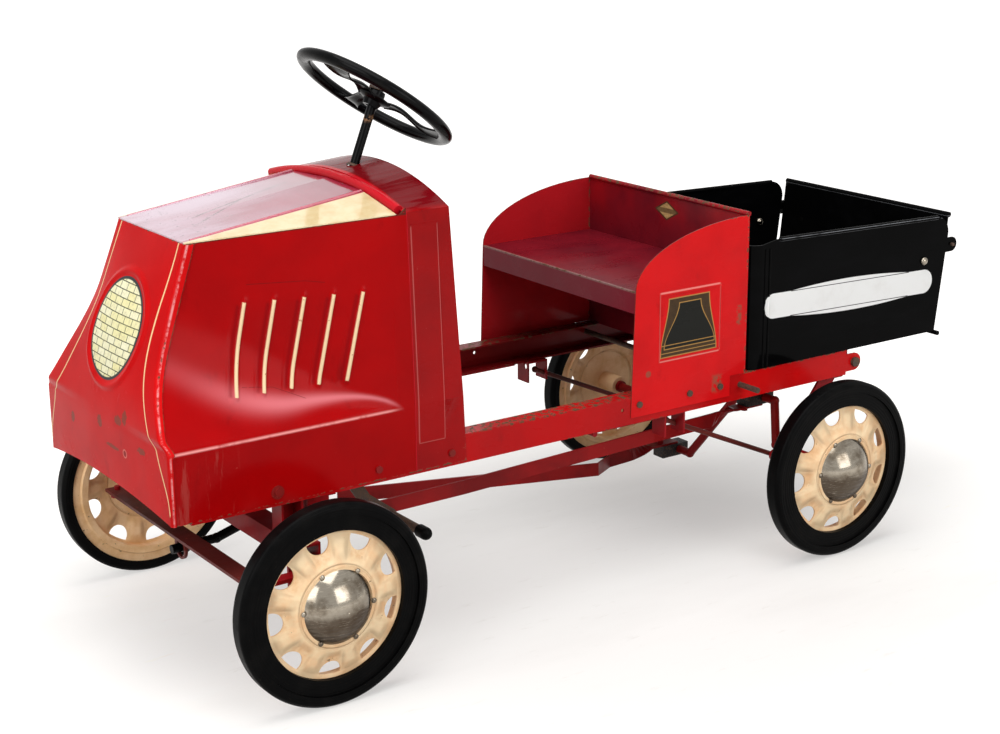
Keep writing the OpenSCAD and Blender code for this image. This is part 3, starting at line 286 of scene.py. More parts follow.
def finish_paint(tree, skin, place, parts, paint=None):
    """Gives the surface its colour with the chips, the sheen and the dents."""
    plain, bare, under, rough, dents = parts
    brown = mix(tree, noise(tree, place, 9, 5), under, tuple(2.1 * v for v in under[:3]) + (1,))
    smear = noise(tree, place, 40, 6, 0.6, stretch=(0.4, 1, 1))
    gloss = rise(tree, smear, 0.3, 0.75, rough[0], rough[1])
    gloss = plus(tree, gloss, times(tree, bare, 0.35))
    wave = noise(tree, place, 70, 2, 0.4)
    peel = noise(tree, place, 2.2, 3, 0.6)
    height = plus(tree, times(tree, wave, dents * 4), times(tree, peel, 0.06))
    height = minus(tree, height, times(tree, bare, 0.25))
    cover(tree, skin, mix(tree, bare, paint or plain, brown), gloss, height, 0.5, 0.0012)


def red_steel(name, colour, deep, chips, edge=None, rough=(0.22, 0.42), shade=None):
    """Brushed red enamel, worn more where edge is 1, with painted shade where shade is 1."""
    material, tree, skin, place = enamel(name, 0.07, 0.08, 0.12)
    x, y, z = split(tree, place)
    worn_edge = edge(tree, x, y, z) if edge else 0.0
    parts = old_paint(tree, place, colour, deep, chips, worn_edge, rough=rough)
    # Painted shade: a dark red is laid where shade says
    paint = mix(tree, shade(tree, x, y, z), parts[0], (0.075, 0.004, 0.006, 1)) if shade else None
    finish_paint(tree, skin, place, parts, paint)
    return material


RAIL_TOP, RAIL_FOOT = 266.5, 228.5


def rail_edges(tree, x, y, z):
    top = band(tree, z, RAIL_TOP - 2.2, RAIL_TOP + 2)
    foot = band(tree, z, RAIL_FOOT - 2, RAIL_FOOT + 1.6)
    return most(tree, top, times(tree, foot, 0.7))


def rail_shade(tree, x, y, z):
    """Painted shade: the far rail and what lies ahead of the seat are darkened as if in shadow."""
    return most(tree, times(tree, rise(tree, y, -20, -60), 0.8),
                times(tree, rise(tree, x, 100, 125), 0.28))


rail_red = red_steel("rail_enamel", (0.64, 0.003, 0.004, 1), (0.52, 0.004, 0.005, 1), 0.62,
                     rail_edges, shade=rail_shade)
dress("left_rail right_rail cross_members", rail_red)
under_red = red_steel("underside_enamel", (0.33, 0.008, 0.012, 1), (0.20, 0.006, 0.009, 1), 0.9,
                      rough=(0.3, 0.5))
dress("front_axle_beam axle_stands column_bracket pedal_brackets left_axle_hanger "
      "right_axle_hanger brace_brackets left_knuckle right_knuckle", under_red)
brace_brown = red_steel("brace_enamel", (0.135, 0.022, 0.018, 1), (0.06, 0.02, 0.015, 1), 1.3,
                        rough=(0.35, 0.6))
dress("brace_rods tie_rod", brace_brown)


def rusty(name, colour, dark, rough=(0.5, 0.85), metal=0.35):
    """Unpainted steel or iron, mottled and specked with rust."""
    material, tree, skin, place = new_finish(name, Metallic=metal)
    mottle = noise(tree, place, 10, 7, 0.68)
    spots = rise(tree, noise(tree, place, 3.2, 6, 0.7, shift=12), 0.5, 0.68)
    tone = mix(tree, rise(tree, mottle, 0.35, 0.65), dark, colour)
    tone = over(tree, tone, (0.16, 0.062, 0.026, 1), spots, 0.6)
    cover(tree, skin, tone, rise(tree, mottle, 0.3, 0.7, *rough), spots, 0.6, 0.0006)
    return material


rust = rusty("old_bolt_steel", (0.105, 0.062, 0.040, 1), (0.045, 0.028, 0.022, 1))
dress("kingpins column_collar pedal_rod cross_rod hinge_bolts seat_screws "
      "steering_wheel_nut left_pedal right_pedal", rust)

# Wheels: pressed steel discs with nine holes, dished outwards, in cream enamel outside and
# baked ochre inside, with solid rubber tyres and domed plated caps held by sprung tabs.
WHEEL_R, FRONT_X, HOLES = 127, 820, 9.0
# Each wheel's hub, its side and how many degrees its holes are turned
wheels = {
    "left_front": (FRONT_X, 1, 3.5), "right_front": (FRONT_X, -1, 16.8),
    "left_rear": (0, 1, 2.9), "right_rear": (0, -1, 31.5),
}


def distance(tree, a, b):
    return calc(tree, "SQRT", plus(tree, times(tree, a, a), times(tree, b, b)))


def about_hub(tree, place, hub_x):
    """Distance from the wheel's axis and angle round it, from the place in millimetres."""
    x, y, z = split(tree, place)
    across, up = minus(tree, x, hub_x), minus(tree, z, WHEEL_R)
    return distance(tree, across, up), calc(tree, "ARCTAN2", up, across)


def disc_enamel(name, hub_x, side, turn):
    material, tree, skin, place = enamel(name, 0.3, 0.1, 0.2)
    out, angle = about_hub(tree, place, hub_x)
    lobe = calc(tree, "COSINE", times(tree, plus(tree, angle, math.radians(turn)), HOLES))
    by_hole = rise(tree, lobe, -0.55, 0.75)
    in_ring = band(tree, out, 60, 89, 5)
    hollow = times(tree, by_hole, in_ring)
    facing = times(tree, split(tree, add(tree, "NewGeometry").outputs["Normal"])[1], float(side))
    outside = rise(tree, facing, -0.15, 0.15)
    cloud = noise(tree, place, 26, 5, 0.6)
    cream = mix(tree, rise(tree, cloud, 0.38, 0.68), (0.93, 0.70, 0.43, 1),
                (0.90, 0.58, 0.32, 1))
    ring = most(tree, rise(tree, out, 86, 92), band(tree, out, 46, 52, 3))
    lip = rise(tree, out, 91.5, 94)
    shade = times(tree, most(tree, hollow, times(tree, ring, 0.6)),
                  rise(tree, noise(tree, place, 16, 6, 0.65, shift=5), 0.34, 0.62))
    cream = over(tree, cream, (0.74, 0.40, 0.18, 1), shade, 0.7)
    ochre = mix(tree, rise(tree, cloud, 0.3, 0.7), (0.97, 0.66, 0.37, 1),
                (0.80, 0.48, 0.22, 1))
    cream = over(tree, cream, (0.42, 0.20, 0.08, 1), lip, 0.75)
    tone = mix(tree, outside, ochre, cream)
    fleck = noise(tree, place, 6.5, 7, 0.7, shift=17 + hub_x)
    gather = times(tree, most(tree, hollow, ring), 0.05)
    chip = rise(tree, plus(tree, fleck, gather), 0.690, 0.715)
    tone = mix(tree, chip, tone, (0.135, 0.060, 0.024, 1))
    rib = times(tree, rise(tree, lobe, -0.1, -0.95), band(tree, out, 60, 84, 8))
    groove = band(tree, out, 50.5, 52.5, 1.5)
    height = minus(tree, plus(tree, rib, times(tree, hollow, -0.7)),
                   plus(tree, times(tree, groove, 0.5), times(tree, chip, 0.08)))
    cover(tree, skin, tone, rise(tree, cloud, 0.3, 0.7, 0.36, 0.6), height, 1.0, 0.004)
    return material


def tyre_rubber(name, hub_x):
    material, tree, skin, place = new_finish(name, **{"Specular IOR Level": 0.035})
    out = about_hub(tree, place, hub_x)[0]
    dust = rise(tree, noise(tree, place, 34, 7, 0.62), 0.42, 0.75)
    tone = mix(tree, dust, (0.0016, 0.0016, 0.0017, 1), (0.0045, 0.0042, 0.0040, 1))
    scuff = rise(tree, noise(tree, place, 8, 7, 0.7, shift=3), 0.66, 0.74)
    tone = over(tree, tone, (0.075, 0.062, 0.050, 1), scuff, rise(tree, out, 116, 125))
    rings = calc(tree, "SINE", times(tree, out, 1.7))
    grain = noise(tree, place, 1.6, 3)
    height = plus(tree, times(tree, rings, 0.35), times(tree, grain, 0.35))
    cover(tree, skin, tone, rise(tree, dust, 0, 1, 0.34, 0.55), height, 0.35, 0.0008)
    return material


cap_nickel, tree, skin, place = new_finish("cap_nickel", Metallic=1.0)
z = split(tree, place)[2]
tarnish = noise(tree, place, 24, 7, 0.62)
streak = noise(tree, place, 7, 6, 0.7, stretch=(0.3, 1, 6), shift=8)
# Painted reflection: each cap's lower half is darkened to dark brown, as a dark reflection, and
# rippled
low = rise(tree, plus(tree, z, times(tree, noise(tree, place, 30, 3), 26)), 143, 133)
tone = mix(tree, rise(tree, tarnish, 0.40, 0.70), (0.30, 0.265, 0.215, 1),
           (0.125, 0.098, 0.070, 1))
tone = over(tree, tone, (0.062, 0.042, 0.028, 1), low, 0.8)
tone = over(tree, tone, (0.50, 0.45, 0.37, 1), rise(tree, streak, 0.56, 0.68), 0.5)
dull = plus(tree, rise(tree, tarnish, 0.3, 0.7, 0.10, 0.24), times(tree, low, 0.16))
dent = add(tree, "TexWave", {"Vector": place, "Scale": 0.055, "Distortion": 3.0, "Detail": 2.0},
           bands_direction="Z")
height = plus(tree, times(tree, streak, 0.12), times(tree, dent.outputs["Fac"], low, 0.5))
cover(tree, skin, tone, dull, height, 0.35, 0.0012)

for wheel, (hub_x, side, turn) in wheels.items():
    dress(wheel + "_disc", disc_enamel(wheel + "_disc_enamel", hub_x, side, turn))
    dress(wheel + "_cap", cap_nickel)
dress("left_front_tyre right_front_tyre", tyre_rubber("front_tyre_rubber", FRONT_X))
dress("left_rear_tyre right_rear_tyre left_pedal_cap right_pedal_cap",
      tyre_rubber("rear_tyre_rubber", 0))

# Clips and bolt heads: six sprung clips round each cap, and a bolt through each side wall of
# the bed that shows on both faces. All are small domes of plated steel. One Geometry Nodes
# tree sets them on their points, and each body's set is baked to one mesh.
stud_tree = bpy.data.node_groups.new("domed_heads", "GeometryNodeTree")
stud_sockets = {}
for label, kind in (("Points", "Geometry"), ("Head size", "Vector"), ("Finish", "Material")):
    stud_sockets[label] = stud_tree.interface.new_socket(
        label, in_out="INPUT", socket_type="NodeSocket" + kind).identifier
stud_tree.interface.new_socket("Heads", in_out="OUTPUT", socket_type="NodeSocketGeometry")
made = {kind: stud_tree.nodes.new(kind) for kind in (
    "NodeGroupInput", "NodeGroupOutput", "GeometryNodeMeshUVSphere", "GeometryNodeTransform",
    "GeometryNodeInstanceOnPoints", "GeometryNodeRealizeInstances", "GeometryNodeSetShadeSmooth",
    "GeometryNodeSetMaterial")}
source, sink, ball, shaped, placed, real, smooth, painted = made.values()
ball.inputs["Segments"].default_value = 24
ball.inputs["Rings"].default_value = 12
for start, end in (
        (ball.outputs["Mesh"], shaped.inputs["Geometry"]),
        (source.outputs["Head size"], shaped.inputs["Scale"]),
        (source.outputs["Points"], placed.inputs["Points"]),
        (shaped.outputs["Geometry"], placed.inputs["Instance"]),
        (placed.outputs["Instances"], real.inputs["Geometry"]),
        (real.outputs["Geometry"], smooth.inputs["Geometry"]),
        (smooth.outputs["Geometry"], painted.inputs["Geometry"]),
        (source.outputs["Finish"], painted.inputs["Material"]),
        (painted.outputs["Geometry"], sink.inputs["Heads"])):
    stud_tree.links.new(start, end)


def in_metres(point):
    return point[0] / 1000 + REAR_AXLE_X, point[1] / 1000, point[2] / 1000


def heads(name, body, points, size, material):
    """Domed heads on points. Points and the heads' half-sizes are in millimetres."""
    spots = bpy.data.meshes.new(name)
    spots.from_pydata([in_metres(point) for point in points], [], [])
    maker = bpy.data.objects.new(name + "_maker", spots)
    bpy.context.scene.collection.objects.link(maker)
    live = maker.modifiers.new("heads", "NODES")
    live.node_group = stud_tree
    live[stud_sockets["Head size"]] = [v / 1000 for v in size]
    live[stud_sockets["Finish"]] = material
    seen_by = bpy.context.evaluated_depsgraph_get()
    baked = bpy.data.meshes.new_from_object(maker.evaluated_get(seen_by))
    bpy.data.objects.remove(maker)
    # The baked mesh starts with an empty slot, so its slots are filled afresh
    baked.materials.clear()
    baked.materials.append(material)
    mount(name, baked, body)


CLIP_R, CLIP_Y = 47.4, 276.2
for wheel, (hub_x, side, turn) in wheels.items():
    angles = [math.radians(turn + 60 * i) for i in range(6)]
    # The right rear wheel is keyed to its axle and has no body of its own
    body = "rear_axle" if wheel == "right_rear" else wheel + "_wheel"
    heads(wheel + "_cap_clips", body, [
        (hub_x + CLIP_R * math.cos(a), side * CLIP_Y, WHEEL_R + CLIP_R * math.sin(a))
        for a in angles], (3.3, 1.9, 3.3), cap_nickel)
heads("bed_bolt_heads", "dump_bed", [
    (-241, side * y, 378.8) for side in (1, -1) for y in (180.4, 177.6)],
    (6.4, 5.6, 6.4), cap_nickel)

# Drive: the cranked rear axle and two flat push rods of steel in worn red enamel. The rods
# end in bearing blocks of black iron, which run on the crank pins.
drive_red = red_steel("drive_enamel", (0.33, 0.009, 0.010, 1), (0.18, 0.008, 0.009, 1), 0.95,
                      rough=(0.28, 0.48))
dress("crank_axle left_push_rod right_push_rod", drive_red)
block_iron = rusty("block_iron", (0.020, 0.018, 0.018, 1), (0.009, 0.008, 0.008, 1), (0.4, 0.7),
                   0.5)
dress("left_big_end right_big_end", block_iron)

# Hood: pressed side panels with five louvres, a nose and a flat top, rolled and crimped
# together. Each side is flat above and swells, below a leaf-shaped bend, out to a sharp
# crease. Red enamel outside, with cream striping over the louvres.
CREAM = (0.80, 0.60, 0.36, 1)
SEAM_X, NOSE_TOP_X, NOSE_X = 650, 907, 981
SHOULDER_Z, NOSE_TOP_Z, CREASE_Z, SKIRT_Z = 556.4, 539.4, 318, 232
SEAM_Y, NOSE_Y, SKIRT_Y = 168, 94, 179.6
SKIRT_DROP = CREASE_Z - SKIRT_Z
SIDE_LEAN, CORNER_BOW = 17, 7.6
# The leaf's height at the nose, and its tail's place as a share of the hood's length
LEAF_HIGH, LEAF_TAIL = 155, 0.073
LOUVRE_X = [862 - 35 * i for i in range(5)]
LOUVRE_TOP, LOUVRE_FOOT, LOUVRE_LEAN = 468, 361, 14
LOUVRE_HALF, LOUVRE_RISE, DIP_END, DIP_DEPTH = 4.6, 3.1, 13, 0.9


def blend(low, high, amount):
    return low + (high - low) * amount


def ease(value, low, high):
    share = min(max((value - low) / (high - low), 0), 1)
    return share * share * (3 - 2 * share)


def nose_line(t):
    """How far forward the nose is, from its top at t = 0 to the crease at t = 1."""
    return blend(NOSE_TOP_X, NOSE_X, t + 0.3 * t * t * (1 - t))


def corner_x(t):
    """The nose's corner bows forward of the nose's line above the crease."""
    return nose_line(t) + CORNER_BOW * ease(t, 0.35, 0.8) * (1 - ease(t, 0.93, 1))


def side_y(along, t):
    """Half the hood's width, from the seam at along = 0 to the nose at 1."""
    top = blend(SEAM_Y, NOSE_Y, along)
    lean = min(SIDE_LEAN, SKIRT_Y - top)
    height = LEAF_HIGH * max((along - LEAF_TAIL) / (1 - LEAF_TAIL), 0.0001) ** 0.85
    drop = blend(SHOULDER_Z, NOSE_TOP_Z, along) - CREASE_Z
    swell = max(1 - (1 - t) * drop / height, 0) ** 2
    return top + lean * t + (SKIRT_Y - top - lean) * swell


def add_sheet(shell, outer, inner, mark=None, values=None):
    """Adds a closed sheet between two matching grids of points in millimetres."""
    layers = []
    for layer in (outer, inner):
        made = []
        for i, row in enumerate(layer):
            made.append([])
            for j, (x, y, z) in enumerate(row):
                point = shell.verts.new(in_metres((x, y, z)))
                if values:
                    point[mark] = values[i][j]
                made[-1].append(point)
        for one, two in zip(made, made[1:]):
            for j in range(len(one) - 1):
                shell.faces.new((one[j], one[j + 1], two[j + 1], two[j]))
        layers.append(made)
    last, end = len(outer) - 1, len(outer[0]) - 1
    rim = ([(0, j) for j in range(end)] + [(i, end) for i in range(last)]
           + [(last, j) for j in range(end, 0, -1)] + [(i, 0) for i in range(last, 0, -1)])
    for (a, b), (c, d) in zip(rim, rim[1:] + rim[:1]):
        shell.faces.new((layers[0][a][b], layers[0][c][d], layers[1][c][d], layers[1][a][b]))


def sheet_metal(name, outer, inner, body, replaced, material, values=None):
    shell = bmesh.new()
    mark = shell.verts.layers.float.new("from_corner")
    add_sheet(shell, outer, inner, mark, values)
    finish_shell(name, shell, body, replaced, material)


def finish_shell(name, shell, body, replaced, material, sharp=50):
    bmesh.ops.recalc_face_normals(shell, faces=shell.faces)
    mesh = bpy.data.meshes.new(name)
    shell.to_mesh(mesh)
    shell.free()
    mesh.shade_smooth()
    mesh.set_sharp_from_angle(angle=math.radians(sharp))
    mesh.materials.append(material)
    mount(name, mesh, body, replaced)


def flange(t):
    """How far the nose's bent edge reaches back over the hood side."""
    return 9 - 3.4 * t if t <= 1 else 2.6


def louvre_height(x, z):
    """Each louvre is a rounded rib with a shallow dip ahead of it, deepest at the foot."""
    share = (LOUVRE_TOP - z) / (LOUVRE_TOP - LOUVRE_FOOT)
    raised = 0
    ends = ease(share, -0.045, 0.03) * ease(share, 1.04, 0.985)
    for at_x in LOUVRE_X:
        across = x - (at_x - LOUVRE_LEAN + 2 * LOUVRE_LEAN * share)
        if abs(across) < LOUVRE_HALF:
            raised += LOUVRE_RISE * math.cos(math.pi * across / (2 * LOUVRE_HALF)) ** 2 * ends
        elif LOUVRE_HALF <= across < DIP_END:
            into = (across - LOUVRE_HALF) / (DIP_END - LOUVRE_HALF)
            raised -= DIP_DEPTH * math.sin(math.pi * into) * ends * share
    return raised


def hood_side_y(x, t):
    return side_y((x - SEAM_X) / (corner_x(t) - 1.6 - SEAM_X), t)


def face_normal(tree):
    return split(tree, add(tree, "NewGeometry").outputs["True Normal"])


# The hood side's rows of points, close together at the crease
levels = [i / 76 * 0.972 for i in range(77)] + [0.972 + 0.0035 * i for i in range(1, 9)]
SKIRT_STEPS = [1, 2, 3, 4, 5, 6, 8, 14, 24, 36, 48, 60, 72, 80, SKIRT_DROP]
SIDE_SHEET, SIDE_COLUMNS = 1.4, 220


def hood_point(along, t):
    x = blend(SEAM_X + 0.3, corner_x(min(t, 1)) - flange(min(t, 1)) + 3, along)
    top = blend(SHOULDER_Z, NOSE_TOP_Z, along) + 7 * (1 - ease(along, 0, 0.035))
    if t > 1:
        return x, SKIRT_Y, CREASE_Z - (t - 1) * SKIRT_DROP
    return x, hood_side_y(x, t), blend(top, CREASE_Z, t)


hood_side, tree, skin, place = enamel("hood_side_enamel", 0.02, 0.07, 0.22)
x, y, z = split(tree, place)
leaf = rise(tree, x, 664, 690)
crease = times(tree, band(tree, z, CREASE_Z - 1.8, CREASE_Z + 0.6, 1.4), leaf)
hem = band(tree, z, SKIRT_Z - 2, SKIRT_Z + 2, 1.5)
top_edge = rise(tree, plus(tree, z, times(tree, x, 0.0662)), 597.2, 599.2)
edges = most(tree, times(tree, crease, 0.35), hem, top_edge)
parts = old_paint(tree, place, (0.37, 0.0012, 0.002, 1), (0.31, 0.0012, 0.002, 1), 0.5, edges,
                  rough=(0.12, 0.26), dents=0.4)
# Along the crease the paint is rubbed pale, with a painted highlight laid on the rub
crease_rub_and_highlight = times(tree, crease, rise(tree, noise(tree, place, 24, 5), 0.25, 0.5), 0.75)
paint = mix(tree, crease_rub_and_highlight, parts[0], (0.88, 0.36, 0.34, 1))
# Painted highlight: a pale pink streak along the leaf's upper bend, most at its tail
tail = calc(tree, "EXPONENT", calc(tree, "DIVIDE", minus(tree, 668, x), 35.0))
front = calc(tree, "POWER", calc(tree, "DIVIDE", most(tree, minus(tree, x, 800), 0.0), 120.0), 2.0)
bend_z = plus(tree, times(tree, minus(tree, 1, tail), 28), times(tree, front, 36))
off = minus(tree, minus(tree, z, CREASE_Z), bend_z)
off = calc(tree, "DIVIDE", off, rise(tree, x, 690, 950, 2.8, 17))
glow = calc(tree, "EXPONENT", times(tree, times(tree, off, off), -1.0))
glow = times(tree, glow, leaf, rise(tree, x, 955, 820, 0.12, 0.60))
paint = mix(tree, glow, paint, (0.82, 0.25, 0.28, 1))
scratch = most(tree, line_mask(tree, place, (843, 0, 487.5), (775, 0, 486), 0.9, soft=0.5),
               line_mask(tree, place, (775, 0, 486), (752, 0, 482), 0.9, soft=0.5))
crack = most(tree, line_mask(tree, place, (866, 0, 371), (828, 0, 366), 0.7, soft=0.4),
             line_mask(tree, place, (828, 0, 366), (790, 0, 348), 0.7, soft=0.4))
paint = over(tree, paint, (0.10, 0.006, 0.006, 1), most(tree, scratch, crack),
             rise(tree, noise(tree, place, 9, 6, 0.7), 0.34, 0.5), 0.7)
rubs = times(tree, rise(tree, noise(tree, place, 11, 5, 0.6, stretch=(1, 1, 0.12), shift=5),
                        0.56, 0.66), rise(tree, x, 880, 925), rise(tree, z, 316, 305))
paint = over(tree, paint, (0.42, 0.09, 0.075, 1), rubs, 0.32)
edge_line = times(tree, top_edge, rise(tree, noise(tree, place, 10, 5), 0.3, 0.42), 0.8)
paint = mix(tree, edge_line, paint, (0.055, 0.018, 0.012, 1))
stripes, shades = [], []
for at_x in LOUVRE_X:
    stripes.append(line_mask(tree, place, (at_x - LOUVRE_LEAN, 0, LOUVRE_TOP - 1),
                             (at_x + LOUVRE_LEAN, 0, LOUVRE_FOOT + 0.5), 4.2, soft=0.6))
    shades.append(line_mask(tree, place, (at_x - LOUVRE_LEAN / 2, 0, LOUVRE_TOP - 4),
                            (at_x + 20.5, 0, LOUVRE_FOOT + 1), 4.5, soft=2.2))
# Painted shadow: a dark red strip down the front side of each louvre, over the dip ahead of its
# rib
paint = over(tree, paint, (0.14, 0.002, 0.004, 1), most(tree, *shades), 0.45)
broken = rise(tree, noise(tree, place, 8, 6, 0.7, shift=2), 0.70, 0.62)
facing = times(tree, calc(tree, "SIGN", y), face_normal(tree)[1])
outer_face = rise(tree, facing, -0.2, 0.2)
paint = over(tree, paint, CREAM, most(tree, *stripes), broken, outer_face)
finish_paint(tree, skin, place, parts, paint)
for hand, side in (("left", 1), ("right", -1)):
    outer, inner = [], []
    for i in range(SIDE_COLUMNS + 1):
        along, column = i / SIDE_COLUMNS, []
        for t in levels + [1 + step / SKIRT_DROP for step in SKIRT_STEPS]:
            x, y, z = hood_point(along, t)
            if abs(z - CREASE_Z) < 6:
                # The crease is rolled over a small radius
                near = [hood_point(along, t + shift) for shift in (-0.016, -0.008, 0.008, 0.016)
                        if t + shift <= 1 or t > 1]
                near += [(x, SKIRT_Y, 0)] * (4 - len(near))
                y = (y + sum(p[1] for p in near)) / 5
            column.append((x, side * (y + louvre_height(x, z)), z))
        outer.append(column)
        inner.append([(x, y - side * SIDE_SHEET, z) for x, y, z in column])
    sheet_metal(hand + "_hood_side_skin", outer, inner, "chassis", hand + "_hood_side", hood_side)

bolt_red = red_steel("bolt_enamel", (0.24, 0.012, 0.012, 1), (0.11, 0.022, 0.016, 1), 1.6)
dress("hood_bolts", bolt_red)

# Nose: the bowed front sheet. Its edges are bent back over the hood sides, an oval ring is
# pressed up round its middle, and a cream pinstripe runs inside each edge. The oval is
# painted with cream bricks on a dark ground.
OVAL_Z, OVAL_HALF_W, OVAL_HALF_H, OVAL_RING = 427.0, 67, 69, 5.5
RING_IN, RING_OUT, RING_RISE = 5, 8, 2.3
NOSE_BULGE, NOSE_SHEET = 13.5, 1.2
SLOPE = 1.0537  # length along the nose for each millimetre of height


def ring_height(y, z):
    """The ring is pressed up from RING_IN inside the oval to RING_OUT beyond it."""
    out = 70 * (math.hypot(y / OVAL_HALF_W, (z - OVAL_Z) * SLOPE / OVAL_HALF_H) - 1)
    if -RING_IN < out < RING_OUT:
        return RING_RISE * math.sin(math.pi * (out + RING_IN) / (RING_IN + RING_OUT)) ** 2
    return 0


def nose_row(t):
    """Points and distances from the corner, from the right flange to the left one."""
    upper = min(t, 1)
    below = max(t - 1, 0)
    half = side_y(1, upper)
    bulge = NOSE_BULGE * math.sin(math.radians(162 * upper))
    edge_x = corner_x(upper)
    forward = edge_x - nose_line(upper)
    side = []
    for k in (1.0, 0.75, 0.5, 0.25):
        x = edge_x - 4.5 - (flange(t) - 2) * k
        side.append((x, (SKIRT_Y if t > 1 else hood_side_y(x, upper)) + 1.5, k * 6 + 4))
    start, corner = Vector(side[-1][:2]), Vector((edge_x + 0.6, half + 1.2))
    spread = [-1 + 2 * i / 150 for i in range(151)]
    inset = 5.5 / half
    face = []
    for s in spread:
        s = s * (1 - inset)
        z = (blend(NOSE_TOP_Z, CREASE_Z, upper) if t <= 1
             else blend(CREASE_Z, SKIRT_Z + 14 * (1 - s * s), below))
        x = edge_x - forward * (1 - s * s) + bulge * (1 - s * s) + ring_height(s * half, z)
        face.append((x, s * half, z, abs(s) * half - half))
    stop = Vector(face[-1][:2])
    bend = []
    for i in range(1, 6):
        a = i / 6
        point = (1 - a) ** 2 * start + 2 * a * (1 - a) * corner + a * a * stop
        bend.append((point.x, point.y, 4 - 8 * a))
    foot = blend(NOSE_TOP_Z, CREASE_Z, upper) if t <= 1 else blend(CREASE_Z, SKIRT_Z, below)
    left = [(x, y, foot, d) for x, y, d in side + bend]
    right = [(x, -y, z, d) for x, y, z, d in left]
    return right + face + left[::-1]


rows = [nose_row(i / 110) for i in range(111)] + [nose_row(1 + i / 20) for i in range(1, 21)]
outer = [[point[:3] for point in row] for row in rows]
inner = []
for row in outer:
    back = []
    for j, (x, y, z) in enumerate(row):
        before, after = row[max(j - 1, 0)], row[min(j + 1, len(row) - 1)]
        normal = Vector((after[1] - before[1], before[0] - after[0])).normalized()
        back.append((x - NOSE_SHEET * normal.x, y - NOSE_SHEET * normal.y, z))
    inner.append(back)

nose_enamel, tree, skin, place = enamel("nose_enamel", 0.02, 0.04, 0.18)
x, y, z = split(tree, place)
from_corner = add(tree, "Attribute", attribute_name="from_corner").outputs["Fac"]
below = rise(tree, z, 330, 246)
outer_face = rise(tree, face_normal(tree)[0], -0.2, 0.2)
reach = plus(tree, from_corner, rise(tree, z, 540, 330, 13.5, 30))
reach = minus(tree, reach, times(tree, below, 27))
stripe = times(tree, band(tree, reach, -1.2, 1.2, 0.6), rise(tree, z, 243, 247), outer_face,
               rise(tree, noise(tree, place, 14, 6, 0.7), 0.72, 0.62))
hem = times(tree, rise(tree, z, 262, 236), 0.5)
bend = band(tree, from_corner, 1.2, 3.4, 0.9)
seam = rise(tree, from_corner, 8.6, 9.6)
edges = most(tree, hem, times(tree, bend, 0.55), rise(tree, z, 537, 539), seam)
parts = old_paint(tree, place, (0.60, 0.005, 0.006, 1), (0.50, 0.004, 0.005, 1), 0.75, edges,
                  rough=(0.14, 0.30), dents=0.6)
# Along the bent corner the paint is rubbed pale, with a painted highlight laid on the rub
paint = mix(tree, times(tree, bend, rise(tree, noise(tree, place, 11, 6, 0.7), 0.4, 0.6), 0.6),
            parts[0], (0.83, 0.42, 0.42, 1))
paint = mix(tree, stripe, paint, (0.90, 0.62, 0.33, 1))
# Scuffs down to brown primer low on the nose, one long and thin, and a lost screw's mark


def spot(y_mm, z_mm, half_y, half_z, seed):
    """1 inside a ragged patch low on the nose."""
    away = distance(tree, calc(tree, "DIVIDE", minus(tree, y, y_mm), half_y),
                    calc(tree, "DIVIDE", minus(tree, z, z_mm), half_z))
    ragged = times(tree, noise(tree, place, 6, 6, 0.75, shift=seed), 1.5)
    return rise(tree, plus(tree, away, ragged), 1.52, 1.42), away


scuffs = most(tree, *(spot(*where)[0] for where in ((-5, 314, 9, 11, 1), (50, 328, 13, 8, 2),
                                                    (68, 336, 9, 11, 3), (112, 306, 13, 6, 4),
                                                    (-93, 297, 8, 9, 5), (30, 291, 24, 3.5, 6))))
paint = over(tree, paint, (0.20, 0.045, 0.024, 1), scuffs, 0.8)
screw = spot(65, 291, 5.2, 5.2, 7)[1]
paint = over(tree, paint, (0.78, 0.36, 0.30, 1), band(tree, screw, 0.78, 1.05, 0.1), 0.55)
paint = over(tree, paint, (0.09, 0.02, 0.014, 1), rise(tree, screw, 0.7, 0.55), 0.6)
paint = over(tree, paint, (0.07, 0.012, 0.010, 1), seam, 0.8)
# The oval's own height runs up the nose's slope
rise_up = times(tree, minus(tree, z, OVAL_Z), SLOPE)
oval = distance(tree, calc(tree, "DIVIDE", y, OVAL_HALF_W - OVAL_RING),
                calc(tree, "DIVIDE", rise_up, OVAL_HALF_H - OVAL_RING))
bricks = add(tree, "TexBrick", {
    "Vector": add(tree, "CombineXYZ", {0: y, 1: rise_up}).outputs[0],
    "Color1": (0.86, 0.80, 0.42, 1), "Color2": (0.90, 0.87, 0.62, 1),
    "Mortar": (0.030, 0.045, 0.020, 1), "Scale": 1.0, "Mortar Size": 0.6,
    "Mortar Smooth": 0.1, "Brick Width": 19.0, "Row Height": 9.3})
field = times(tree, rise(tree, oval, 0.945, 0.925), outer_face)
rim = times(tree, rise(tree, oval, 1.0, 0.985), outer_face)
paint = mix(tree, rim, paint, (0.045, 0.047, 0.050, 1))
dirt = rise(tree, noise(tree, place, 5, 6, 0.7), 0.45, 0.85)
paint = mix(tree, field, paint, mix(tree, dirt, bricks.outputs[0], (0.52, 0.46, 0.26, 1)))
finish_paint(tree, skin, place, parts, paint)
sheet_metal("nose_skin", outer, inner, "chassis", "nose_panel", nose_enamel,
            [[point[3] for point in row] for row in rows])

